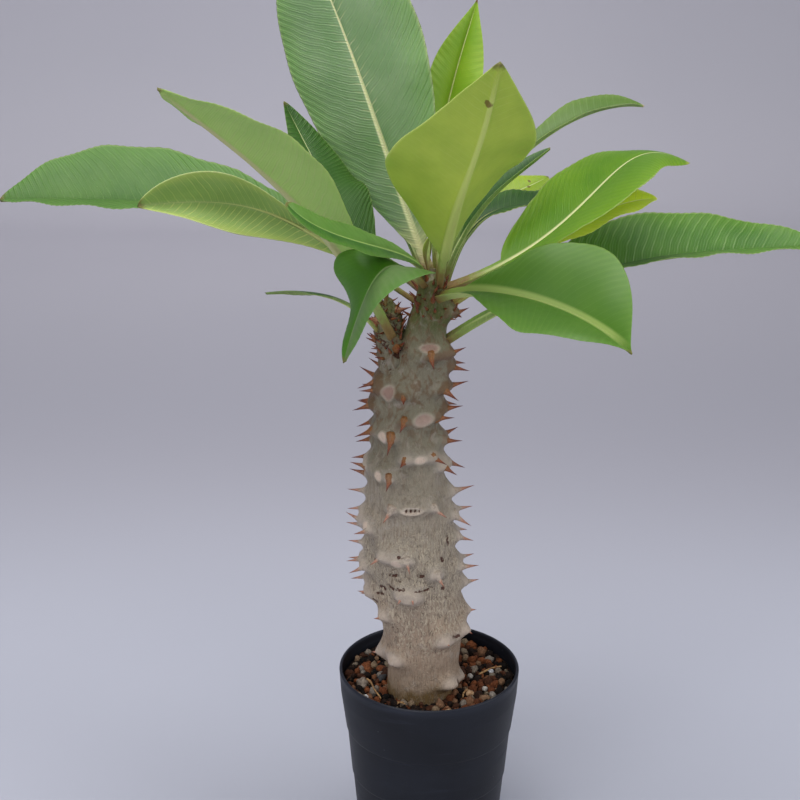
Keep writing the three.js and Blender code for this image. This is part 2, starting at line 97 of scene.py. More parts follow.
def outward(azimuth: np.ndarray) -> np.ndarray:
    """Unit vectors that azimuths point in, seen from above."""
    turn = np.radians(azimuth)
    return np.stack([np.sin(turn), -np.cos(turn), np.zeros_like(turn)], -1)


def wrapped(turn: np.ndarray) -> np.ndarray:
    """An angle in degrees brought to between -180 and 180."""
    return (np.asarray(turn, float) + 180) % 360 - 180


def around(count: int) -> np.ndarray:
    """Azimuths spread evenly round a circle."""
    return np.linspace(0, 360, count, endpoint=False)


def pointing(azimuth: float, pitch: float) -> np.ndarray:
    """The direction of an azimuth in degrees, raised by a pitch in radians."""
    return outward(np.array(azimuth)) * math.cos(pitch) + np.array([0, 0, math.sin(pitch)])


def vein_path(run: "Wire", reach: "Wire") -> "Wire":
    """Where along the midrib the side vein through a place leaves it, in millimetres."""
    return run - reach * VEIN_SLOPE - reach * reach * VEIN_CURVE


def curve(four: Sequence, t: Union["Wire", np.ndarray]) -> tuple:
    """A smooth line through four places, in wires or in plain numbers.

    Args:
        four: the places at its start, a third and two thirds along, and its end.
        t: share of the way along.

    Returns:
        The place there and the direction of the line, of any length.
    """
    start, low, high, end = four
    first = (start * -5 + low * 18 - high * 9 + end * 2) / 6
    second = (start * 2 - low * 9 + high * 18 - end * 5) / 6
    back = 1 - t
    place = start * (back ** 3) + first * (back * back * t * 3)
    place = place + second * (back * t * t * 3) + end * (t ** 3)
    slope = (first - start) * (back * back) + (second - first) * (back * t * 2)
    return place, slope + (end - second) * (t * t)


def lumps(points: np.ndarray, size: float, shift: float = 0.0) -> np.ndarray:
    """Smooth noise from -1 to 1 at points.

    Args:
        points: places in millimetres, three numbers each.
        size: width of one lump in millimetres.
        shift: moves the pattern, so that two patterns differ.

    Returns:
        One value for each point.
    """
    flat = points.reshape(-1, 3) / size + shift
    values = [noise.noise(Vector(place)) for place in flat.tolist()]
    return np.array(values).reshape(points.shape[:-1])


class Dice:
    """Repeatable random numbers from 0 to 1."""

    def __init__(self, seed: int) -> None:
        """Starts from a seed."""
        self.state = seed

    def roll(self) -> float:
        """The next number.

        Returns:
            A number from 0 to 1, without 1 itself.
        """
        self.state = (self.state + DICE_STEP) & MASK
        word = ((self.state ^ (self.state >> 15)) * (1 | self.state)) & MASK
        word = ((word + (word ^ (word >> 7)) * (61 | word)) & MASK) ^ word
        return (word ^ (word >> 14)) / (MASK + 1)


class Wire:
    """An output of a node that can be used in arithmetic."""

    def __init__(self, graph: "Graph", socket: bpy.types.NodeSocket) -> None:
        """Wraps one output socket of a graph."""
        self.graph = graph
        self.socket = socket

    @property
    def is_vector(self) -> bool:
        """Whether it carries three numbers."""
        return self.socket.type == "VECTOR"

    def __add__(self, other: Value) -> "Wire":
        """Sum."""
        return self.graph.math("ADD", self, other)

    def __radd__(self, other: Value) -> "Wire":
        """Sum, from the right."""
        return self.graph.math("ADD", other, self)

    def __sub__(self, other: Value) -> "Wire":
        """Difference."""
        return self.graph.math("SUBTRACT", self, other)

    def __rsub__(self, other: Value) -> "Wire":
        """Difference, from the right."""
        return self.graph.math("SUBTRACT", other, self)

    def __mul__(self, other: Value) -> "Wire":
        """Product."""
        return self.graph.math("MULTIPLY", self, other)

    def __rmul__(self, other: Value) -> "Wire":
        """Product, from the right."""
        return self.graph.math("MULTIPLY", self, other)

    def __truediv__(self, other: Value) -> "Wire":
        """Quotient."""
        return self.graph.math("DIVIDE", self, other)

    def __rtruediv__(self, other: Value) -> "Wire":
        """Quotient, from the right."""
        return self.graph.math("DIVIDE", other, self)

    def __pow__(self, other: Value) -> "Wire":
        """Power."""
        return self.graph.math("POWER", self, other)

    def __abs__(self) -> "Wire":
        """Size without its sign."""
        return self.graph.math("ABSOLUTE", self)

    def __gt__(self, other: Value) -> "Wire":
        """1 where it is greater, otherwise 0."""
        return self.graph.math("GREATER_THAN", self, other)

    def __lt__(self, other: Value) -> "Wire":
        """1 where it is less, otherwise 0."""
        return self.graph.math("LESS_THAN", self, other)

    def sine(self) -> "Wire":
        """Sine of an angle in radians."""
        return self.graph.math("SINE", self)

    def cosine(self) -> "Wire":
        """Cosine of an angle in radians."""
        return self.graph.math("COSINE", self)

    def root(self) -> "Wire":
        """Square root."""
        return self.graph.math("SQRT", self)

    def bell(self) -> "Wire":
        """1 at zero, falling away on both sides as a bell."""
        return self.graph.math("EXPONENT", self * self * -1.0)

    def most(self, other: Value) -> "Wire":
        """The greater of two."""
        return self.graph.math("MAXIMUM", self, other)

    def least(self, other: Value) -> "Wire":
        """The smaller of two."""
        return self.graph.math("MINIMUM", self, other)

    def cross(self, other: Value) -> "Wire":
        """Cross product of two vectors."""
        return self.graph.node("ShaderNodeVectorMath", {"operation": "CROSS_PRODUCT"}, {0: self, 1: other})

    def unit(self) -> "Wire":
        """The same direction with length one."""
        return self.graph.node("ShaderNodeVectorMath", {"operation": "NORMALIZE"}, {0: self})

    def part(self, axis: int) -> "Wire":
        """One of a vector's three numbers."""
        return self.graph.node("ShaderNodeSeparateXYZ", {}, {0: self}, axis)

    def smooth(self, low: Value, high: Value, start: Value = 0.0, end: Value = 1.0) -> "Wire":
        """Smooth step.

        Args:
            low: value where the step starts.
            high: value where it ends.
            start: result below the step.
            end: result above it.

        Returns:
            The stepped value.
        """
        settings = {"interpolation_type": "SMOOTHSTEP"}
        return self.graph.node("ShaderNodeMapRange", settings, {0: self, 1: low, 2: high, 3: start, 4: end})

    def toward(self, other: Value, share: Value) -> "Wire":
        """The vector a share of the way from this one to another."""
        return self.graph.node("ShaderNodeMix", {"data_type": "VECTOR"}, {0: share, 4: self, 5: other}, 1)

    def also(self, output: Union[int, str]) -> "Wire":
        """Another output of the same node."""
        return Wire(self.graph, self.socket.node.outputs[output])


class Graph:
    """A node tree that is written as expressions."""

    def __init__(self, tree: bpy.types.NodeTree) -> None:
        """Works on an existing tree."""
        self.tree = tree

    def node(
        self,
        kind: str,
        settings: Optional[dict] = None,
        sockets: Optional[dict] = None,
        output: Union[int, str] = 0,
    ) -> Wire:
        """Makes one node.

        Args:
            kind: the node's type.
            settings: its settings, set first. The stops of a ramp are pairs of place and colour.
            sockets: values or wires for its inputs, by index or name.
            output: the output to return, by index or name.

        Returns:
            That output.
        """
        made = self.tree.nodes.new(kind)
        for name, setting in (settings or {}).items():
            if name == "stops":
                self._stops(made.color_ramp, setting)
            else:
                setattr(made, name, setting)
        for name, value in (sockets or {}).items():
            self.feed(made.inputs[name], value)
        return Wire(self, made.outputs[output])

    @staticmethod
    def _stops(colours: bpy.types.ColorRamp, stops: Sequence[tuple[float, Colour]]) -> None:
        """Gives a ramp its stops.

        Args:
            colours: the node's ramp.
            stops: pairs of place and colour.
        """
        while len(colours.elements) < len(stops):
            colours.elements.new(0.5)
        for element, (place, colour) in zip(colours.elements, stops):
            element.position = place
            element.color = colour

    def feed(self, socket: bpy.types.NodeSocket, value: Value) -> None:
        """Links a wire to an input, or sets the input's own value.

        Args:
            socket: the input.
            value: a wire, a number or some numbers.
        """
        if isinstance(value, Wire):
            self.tree.links.new(value.socket, socket)
        elif socket.type == "VECTOR" and isinstance(value, (int, float)):
            socket.default_value = (value,) * 3
        else:
            socket.default_value = value

    def math(self, operation: str, left: Value, right: Value = 0.0) -> Wire:
        """Arithmetic on numbers or vectors.

        Args:
            operation: a Math node's operation.
            left: its first value.
            right: its second value.

        Returns:
            The result, a vector where either value is one.
        """
        vectors = [isinstance(value, Wire) and value.is_vector for value in (left, right)]
        if not any(vectors):
            return self.node("ShaderNodeMath", {"operation": operation}, {0: left, 1: right})
        if operation == "DIVIDE" and not vectors[1]:
            return self.math("MULTIPLY", left, 1.0 / right)
        if operation == "MULTIPLY" and not all(vectors):
            vector, scale = (left, right) if vectors[0] else (right, left)
            if not isinstance(scale, (tuple, list)):
                return self.node("ShaderNodeVectorMath", {"operation": "SCALE"}, {0: vector, 3: scale})
        return self.node("ShaderNodeVectorMath", {"operation": operation}, {0: left, 1: right})

    def clouds(self, place: Wire, size: float, detail: float = 2.0, bend: float = 0.0) -> Wire:
        """Smooth noise from 0 to 1.

        Args:
            place: coordinates in metres.
            size: width of one cloud in millimetres.
            detail: how many finer layers it has.
            bend: how much it is drawn out of shape.

        Returns:
            The noise, around 0.5.
        """
        sockets = {"Vector": place, "Scale": 1 / (size * MM), "Detail": detail, "Distortion": bend}
        return self.node("ShaderNodeTexNoise", {}, sockets)

    def wander(self, place: Wire, size: float) -> Wire:
        """Smooth noise with three numbers of its own, from -0.5 to 0.5.

        Args:
            place: coordinates in metres.
            size: width of one cloud in millimetres.

        Returns:
            The noise as a vector.
        """
        sockets = {"Vector": place, "Scale": 1 / (size * MM), "Detail": 1.0}
        tint = self.node("ShaderNodeTexNoise", {}, sockets, "Color")
        return self.node("ShaderNodeVectorMath", {"operation": "SUBTRACT"}, {0: tint, 1: (0.5, 0.5, 0.5)})


def placed(name: str, data: bpy.types.ID) -> bpy.types.Object:
    """Puts an object with its data in the scene.

    Args:
        name: its name.
        data: its mesh, light or camera.

    Returns:
        The object.
    """
    piece = bpy.data.objects.new(name, data)
    bpy.context.scene.collection.objects.link(piece)
    return piece


def settled(piece: bpy.types.Object, modifier: bpy.types.Modifier) -> bpy.types.Object:
    """Makes what a modifier shows the object's own plain mesh.

    Args:
        piece: the object.
        modifier: its one modifier, which is removed.

    Returns:
        The same object.
    """
    shown = bpy.context.evaluated_depsgraph_get()
    made = bpy.data.meshes.new_from_object(
        piece.evaluated_get(shown), preserve_all_data_layers=True, depsgraph=shown
    )
    piece.modifiers.remove(modifier)
    piece.data = made
    made.name = piece.name
    return piece


class GeometryTree(Graph):
    """A geometry node tree with named inputs, run once to make a plain mesh."""

    def __init__(self, name: str, inputs: dict[str, Sequence[str]]) -> None:
        """Makes the tree, its named inputs and one for the material.

        Args:
            name: the tree's name.
            inputs: the names of the inputs of each kind, such as Float or Object.
        """
        super().__init__(bpy.data.node_groups.new(name, "GeometryNodeTree"))
        face = self.tree.interface
        face.new_socket("Geometry", in_out="OUTPUT", socket_type="NodeSocketGeometry")
        self.kinds = {key: kind for kind, keys in inputs.items() for key in keys} | {"Material": "Material"}
        self.identifiers = {}
        for key, kind in self.kinds.items():
            made = face.new_socket(key, in_out="INPUT", socket_type=f"NodeSocket{kind}")
            self.identifiers[key] = made.identifier
        self.entry = self.tree.nodes.new("NodeGroupInput")
        self.exit = self.tree.nodes.new("NodeGroupOutput")

    def given(self, name: str) -> Wire:
        """The wire of a named input."""
        return Wire(self, self.entry.outputs[name])

    def shown(self, name: str) -> Wire:
        """The geometry of the object at a named input."""
        return self.node("GeometryNodeObjectInfo", {}, {"Object": self.given(name)}, "Geometry")

    def read(self, name: str, kind: str = "FLOAT") -> Wire:
        """A named attribute of the geometry."""
        return self.node("GeometryNodeInputNamedAttribute", {"data_type": kind}, {"Name": name})

    def store(self, geometry: Wire, name: str, value: Value, kind: str = "FLOAT") -> Wire:
        """Keeps a value for each point of a geometry under a name.

        Args:
            geometry: what keeps it.
            name: the attribute's name.
            value: what is kept.
            kind: the attribute's data type.

        Returns:
            The geometry with the value.
        """
        settings = {"data_type": kind, "domain": "POINT"}
        sockets = {"Geometry": geometry, "Name": name, "Value": value}
        return self.node("GeometryNodeStoreNamedAttribute", settings, sockets)

    def chance(self, low: float, high: float, seed: Value) -> Wire:
        """A random number for each point between two bounds."""
        return self.node("FunctionNodeRandomValue", {"data_type": "FLOAT"}, {2: low, 3: high, 8: seed}, 1)

    def gathered(self, kinds: Sequence[Wire]) -> Wire:
        """Several geometries as one list to pick an instance from.

        Args:
            kinds: the geometries.

        Returns:
            The list.
        """
        heap = self.node("GeometryNodeGeometryToInstance")
        for kind in kinds:
            self.tree.links.new(kind.socket, heap.socket.node.inputs[0])
        return heap

    def finish(self, geometry: Wire) -> None:
        """Ends the tree in smooth real meshes of its material.

        Args:
            geometry: what the tree has made.
        """
        real = self.node("GeometryNodeRealizeInstances", {}, {0: geometry})
        smooth = self.node("GeometryNodeSetShadeSmooth", {}, {0: real})
        sockets = {"Geometry": smooth, "Material": self.given("Material")}
        coloured = self.node("GeometryNodeSetMaterial", {}, sockets)
        self.tree.links.new(coloured.socket, self.exit.inputs[0])

    def run(self, name: str, values: dict) -> bpy.types.Object:
        """Runs the tree on an empty object and keeps the result as a plain mesh.

        Args:
            name: the new object's name.
            values: a value for each named input.

        Returns:
            The object, with no modifier left.
        """
        piece = placed(name, bpy.data.meshes.new(name))
        modifier = piece.modifiers.new(name, "NODES")
        modifier.node_group = self.tree
        for key, value in values.items():
            modifier[self.identifiers[key]] = float(value) if self.kinds[key] == "Float" else value
        return settled(piece, modifier)


class ShaderGraph(Graph):
    """The nodes of one material."""

    def __init__(self, name: str) -> None:
        """Makes a material with one plain shader."""
        self.material = bpy.data.materials.new(name)
        self.material.use_nodes = True
        super().__init__(self.material.node_tree)
        self.shader = next(node for node in self.tree.nodes if node.type == "BSDF_PRINCIPLED")

    def place(self) -> Wire:
        """Object coordinates in metres."""
        return self.node("ShaderNodeTexCoord", {}, {}, "Object")

    def stretched(self, scale: Point) -> Wire:
        """Object coordinates scaled by axis."""
        return self.node("ShaderNodeMapping", {}, {"Vector": self.place(), "Scale": scale})

    def trait(self, name: str) -> Wire:
        """A number that the mesh keeps for each point."""
        return self.node("ShaderNodeAttribute", {"attribute_name": name}, {}, "Fac")

    def blend(self, share: Value, low: Value, high: Value, kind: str = "MIX") -> Wire:
        """Mixes two colours.

        Args:
            share: how much of the second shows.
            low: the first colour.
            high: the second colour.
            kind: the way of mixing.

        Returns:
            The mixed colour.
        """
        settings = {"data_type": "RGBA", "blend_type": kind}
        return self.node("ShaderNodeMix", settings, {0: share, 6: low, 7: high}, 2)

    def dress(
        self, colour: Value, roughness: Value, height: Optional[Wire], depth: float, **constants: float
    ) -> bpy.types.Material:
        """Feeds the shader.

        Args:
            colour: base colour.
            roughness: roughness.
            height: relief from 0 to 1, if any.
            depth: how many millimetres that relief is high.
            constants: values of other inputs, with underscores for spaces.

        Returns:
            The material.
        """
        self.feed(self.shader.inputs["Base Color"], colour)
        self.feed(self.shader.inputs["Roughness"], roughness)
        if height is not None:
            sockets = {"Height": height, "Distance": depth * MM, "Strength": 1.0}
            self.feed(self.shader.inputs["Normal"], self.node("ShaderNodeBump", {}, sockets))
        for name, value in constants.items():
            self.shader.inputs[name.replace("_", " ")].default_value = value
        if constants.get("Emission_Strength"):
            self.feed(self.shader.inputs["Emission Color"], colour)
        return self.material


def new_mesh(
    name: str, points: np.ndarray, faces: Sequence[Sequence[int]], traits: Optional[dict] = None
) -> bpy.types.Mesh:
    """Makes a smooth mesh.

    Args:
        name: its name.
        points: places in millimetres.
        faces: the corners of each face.
        traits: numbers or vectors kept for each point, by name.

    Returns:
        The mesh, in metres.
    """
    mesh = bpy.data.meshes.new(name)
    mesh.from_pydata((np.asarray(points) * MM).tolist(), [], faces)
    mesh.shade_smooth()
    for key, values in (traits or {}).items():
        values = np.asarray(values, np.float32)
        kind, slot = ("FLOAT_VECTOR", "vector") if values.ndim > 1 else ("FLOAT", "value")
        mesh.attributes.new(key, kind, "POINT").data.foreach_set(slot, values.ravel())
    return mesh


def new_piece(mesh: bpy.types.Mesh, material: bpy.types.Material) -> bpy.types.Object:
    """Puts a dressed mesh in the scene under its own name.

    Args:
        mesh: its mesh.
        material: its finish.

    Returns:
        The object.
    """
    mesh.materials.append(material)
    return placed(mesh.name, mesh)


def loft_faces(rings: int, sides: int, closed: bool = True) -> list[tuple[int, ...]]:
    """Faces of a body over rings of points, closed on two points at the end of the list.

    Args:
        rings: how many rings there are, from the bottom up.
        sides: how many points each has, counted anticlockwise seen from above.
        closed: whether the last two points close the ends.

    Returns:
        The corners of each face.
    """
    faces = []
    for i in range(rings - 1):
        for j in range(sides):
            k = (j + 1) % sides
            faces.append((i * sides + j, i * sides + k, (i + 1) * sides + k, (i + 1) * sides + j))
    if closed:
        start = rings * sides
        top = (rings - 1) * sides
        for j in range(sides):
            k = (j + 1) % sides
            faces.append((start, k, j))
            faces.append((start + 1, top + j, top + k))
    return faces


def tube(path: np.ndarray, radii: np.ndarray, sides: int = 10) -> tuple[np.ndarray, list]:
    """A closed round tube along a path.

    Args:
        path: places along it.
        radii: radius at each place.
        sides: points around it.

    Returns:
        Points and faces.
    """
    ahead = np.gradient(path, axis=0)
    ahead /= np.linalg.norm(ahead, axis=1)[:, None]
    side = np.cross(ahead, [0.3, 0.2, 1.0])
    side /= np.linalg.norm(side, axis=1)[:, None]
    rise = np.cross(ahead, side)
    turn = np.linspace(0, 2 * math.pi, sides, endpoint=False)
    rings = path[:, None] + radii[:, None, None] * (
        np.cos(turn)[None, :, None] * side[:, None] + np.sin(turn)[None, :, None] * rise[:, None]
    )
    points = np.vstack([rings.reshape(-1, 3), path[0], path[-1]])
    return points, loft_faces(len(path), sides)


def dressed(piece: bpy.types.Object, slot: str, *nodes: str) -> bpy.types.Object:
    """Hangs a piece on the frame's body and hides the CAD nodes it stands for.

    Args:
        piece: the finished object.
        slot: the material slot of the piece's finish; not used.
        nodes: the CAD nodes it stands for.

    Returns:
        The same object.
    """
    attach(piece, BODY)
    if nodes:
        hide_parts(*nodes)
    faces = sum(len(face.vertices) - 2 for face in piece.data.polygons)
    log.info("%s: %d triangles", piece.name, faces)
    return piece


@dataclass(frozen=True)
class PotPlastic:
    """Dark blue-grey satin plastic with faint scuffs and dust, and a painted highlight along its rim."""

    base: Colour = tone(25, 27, 33)
    # the scuffed tone, which is also painted on the rim as a highlight
    worn_and_rim_sheen: Colour = tone(42, 45, 54)
    dust: Colour = tone(112, 114, 120)

    def material(self) -> bpy.types.Material:
        """Builds the finish.

        Returns:
            The material.
        """
        g = ShaderGraph("pot_plastic")
        place = g.place()
        haze = g.clouds(place, 26, 3).smooth(0.35, 0.75)
        rubs = g.clouds(g.stretched((1, 1, 9)), 20, 5, 0.6).smooth(0.55, 0.78)
        specks = g.clouds(place, 1.6, 1).smooth(0.77, 0.8) * g.clouds(place, 14, 1).smooth(0.5, 0.6)
        rim = g.trait("rim")
        colour = g.blend(haze * 0.35, self.base, self.worn_and_rim_sheen)
        # the rubs are real scuffs; the lighter rim is a painted highlight along the rounded rim
        colour = g.blend(rubs * 0.6 + rim * 0.55, colour, self.worn_and_rim_sheen)
        colour = g.blend(specks * 0.6, colour, self.dust)
        grain = g.clouds(place, 0.7, 2)
        roughness = 0.44 + haze * 0.1 + rubs * 0.1 - rim * 0.08
        return g.dress(colour, roughness, grain * 0.5 + rubs * 0.3, 0.06, Specular_IOR_Level=0.24)


@dataclass(frozen=True)
class SoilMix:
    """Crumbly clay grains with painted shade between them, and a tone of its own on each grain."""

    stops: tuple[tuple[float, Colour], ...] = (
        (0.0, tone(20, 18, 17)), (0.27, tone(38, 28, 24)), (0.45, tone(70, 44, 32)),
        (0.62, tone(102, 60, 39)), (0.76, tone(118, 70, 44)), (0.86, tone(124, 108, 88)),
        (0.93, tone(118, 110, 102)), (1.0, tone(178, 170, 160)),
    )
    dust: Colour = tone(150, 112, 84)

    def material(self) -> bpy.types.Material:
        """Builds the finish.

        Returns:
            The material.
        """
        g = ShaderGraph("soil_mix")
        place = g.place()
        base = g.node("ShaderNodeValToRGB", {"stops": self.stops}, {0: g.trait("tone")})
        crumb = g.clouds(place, 0.9, 4)
        fine = g.clouds(place, 0.35, 3)
        dark = g.blend(1.0, base, crumb * 1.7 + fine * 0.5 - 0.1, "MULTIPLY")
        colour = g.blend(crumb.smooth(0.58, 0.75) * 0.25, dark, self.dust)
        return g.dress(colour, 0.92, crumb * 0.7 + fine * 0.3, 0.5, Specular_IOR_Level=0.2)


@dataclass(frozen=True)
class PlainStuff:
    """A small thing of one stuff, mottled and finely grained."""

    name: str
    light: Colour
    dark: Colour
    size: float = 1.5
    rough: float = 0.8

    def material(self) -> bpy.types.Material:
        """Builds the finish.

        Returns:
            The material.
        """
        g = ShaderGraph(self.name)
        place = g.place()
        blot = g.clouds(place, self.size, 3)
        fine = g.clouds(place, self.size / 5, 2)
        colour = g.blend(blot.smooth(0.35, 0.68), self.light, self.dark)
        return g.dress(colour, self.rough, blot * 0.5 + fine * 0.5, 0.15)


@dataclass(frozen=True)
class Bark:
    """Bark that goes from tan and fibrous at the foot to green-grey under the crown, with painted highlights
    on its lower cushions.
    """

    foot: Colour = tone(112, 90, 58)
    tan: Colour = tone(158, 137, 117)
    grey: Colour = tone(151, 140, 124)
    green: Colour = tone(118, 112, 94)
    top: Colour = tone(80, 86, 42)
    fibre: Colour = tone(190, 175, 152)
    groove: Colour = tone(78, 66, 54)
    umber: Colour = tone(98, 72, 48)
    # pale tone for patches, also painted on the lower cushions as a highlight
    cushion: Colour = tone(164, 154, 144)
    scar: Colour = tone(150, 120, 108)
    old_scar: Colour = tone(206, 184, 166)
    rim: Colour = tone(206, 190, 172)
    scab: Colour = tone(72, 40, 28)

    def material(self) -> bpy.types.Material:
        """Builds the finish.

        Returns:
            The material.
        """
        g = ShaderGraph("bark")
        place = g.place()
        height = place.part(2) / MM
        drift = height + (g.clouds(place, 16, 2) - 0.5) * 26
        colour = g.blend(drift.smooth(86, 92), self.foot, self.tan)
        colour = g.blend(drift.smooth(112, 138), colour, self.grey)
        colour = g.blend(drift.smooth(160, 196), colour, self.green)
        colour = g.blend(drift.smooth(222, 246), colour, self.top)
        blotch = g.clouds(place, 7, 3, 0.4)
        patch = g.blend(drift.smooth(120, 200), self.tan, self.grey)
        colour = g.blend(blotch.smooth(0.52, 0.7) * 0.4, colour, patch)
        colour = g.blend(g.clouds(place, 4.2, 3, 0.8).smooth(0.52, 0.7) * 0.4, colour, self.groove)
        upper = drift.smooth(182, 204)
        stain = g.clouds(g.stretched((1, 1, 0.7)), 3.4, 3, 1.0).smooth(0.48, 0.64)
        colour = g.blend(stain * upper * 0.7, colour, self.umber)
        pale = g.clouds(g.stretched((1, 1, 0.8)), 5, 3, 0.8).smooth(0.56, 0.68)
        colour = g.blend(pale * 0.35, colour, self.cushion)
        middle = drift.smooth(100, 114) * (1 - drift.smooth(146, 172))
        bent = g.stretched((1, 1, 0.34)) + g.wander(place, 1.6) * (1.1 * MM)
        net = 1 - abs(g.clouds(bent, 1.3, 2) - 0.5).smooth(0.012, 0.06)
        fibres = g.clouds(g.stretched((1, 1, 0.09)), 0.7, 2, 0.4)
        pits = g.clouds(g.stretched((1, 1, 0.42)), 0.9, 3, 1.0)
        low = 1 - drift.smooth(150, 215) * 0.6
        cushion = g.trait("cushion")
        bare = 1 - cushion * 0.5
        colour = g.blend(fibres.smooth(0.48, 0.62) * 0.3 * low * bare, colour, self.umber)
        colour = g.blend(pits.smooth(0.52, 0.66) * (0.24 + middle * 0.4) * low * bare, colour, self.groove)
        colour = g.blend(net * (0.16 + middle * 0.5) * low * bare, colour, self.fibre)
        flecks = g.clouds(place, 1.3, 2).smooth(0.62, 0.7) * g.clouds(place, 9, 1).smooth(0.5, 0.62)
        colour = g.blend(flecks * middle * bare * 0.7, colour, self.scab)
        # painted highlight: low on the stem the cushions are painted paler for the light they catch; higher
        # up they turn green
        colour = g.blend(cushion * 0.45, colour, g.blend(upper, self.cushion, self.green))
        skirt = (cushion + (g.clouds(place, 1.7, 3) - 0.5) * 0.8).smooth(0.6, 1.0)
        colour = g.blend(skirt * upper * 0.8, colour, self.umber)
        # painted highlight: low on the stem the peaks of the cushions are painted paler still
        colour = g.blend(skirt * (1 - upper) * 0.22, colour, self.old_scar)
        scar = g.trait("scar")
        dull = g.clouds(place, 1.6, 2)
        wound = g.blend(height.smooth(194, 208), self.old_scar, self.scar)
        colour = g.blend(scar * (0.55 + dull * 0.6), colour, wound)
        colour = g.blend(g.trait("rim") * 0.75, colour, self.rim)
        scab = (g.trait("scab") + (g.clouds(place, 1.1, 3) - 0.5) * 2.4).smooth(0.55, 0.85)
        scab = scab * g.trait("scab").smooth(0.12, 0.4)
        colour = g.blend(scab * 0.95, colour, self.scab)
        relief = net * 0.3 * bare * low - pits * 0.5 * bare - fibres * 0.25 * bare + blotch * 0.6 - scab * 0.5
        return g.dress(colour, 0.66 - cushion * 0.2, relief, 0.5, Specular_IOR_Level=0.35)


@dataclass(frozen=True)
class ThornHorn:
    """Horn of a thorn: brown foot, red-brown point, and paler on the old lower ones."""

    foot: Colour = tone(126, 84, 48)
    middle: Colour = tone(128, 70, 42)
    point: Colour = tone(88, 38, 32)
    old_foot: Colour = tone(160, 146, 132)
    old_middle: Colour = tone(166, 120, 100)
    old_point: Colour = tone(112, 52, 40)

    def material(self) -> bpy.types.Material:
        """Builds the finish.

        Returns:
            The material.
        """
        g = ShaderGraph("thorn_horn")
        place = g.place()
        reach = g.trait("reach") + (g.clouds(place, 1.4, 2) - 0.5) * 0.25
        young = (place.part(2) / MM + (g.clouds(place, 9, 1) - 0.5) * 30).smooth(166, 184)
        new = g.blend(reach.smooth(0.05, 0.55), self.foot, self.middle)
        new = g.blend(reach.smooth(0.3, 0.95), new, self.point)
        old = g.blend(reach.smooth(0.22, 0.5), self.old_foot, self.old_middle)
        old = g.blend(reach.smooth(0.55, 1.0), old, self.old_point)
        streak = g.clouds(place, 0.7, 2)
        colour = g.blend(young, old, new)
        colour = g.blend(1.0, colour, streak * 1.2 + 0.4, "MULTIPLY")
        return g.dress(colour, 0.46, streak, 0.08, Specular_IOR_Level=0.45)


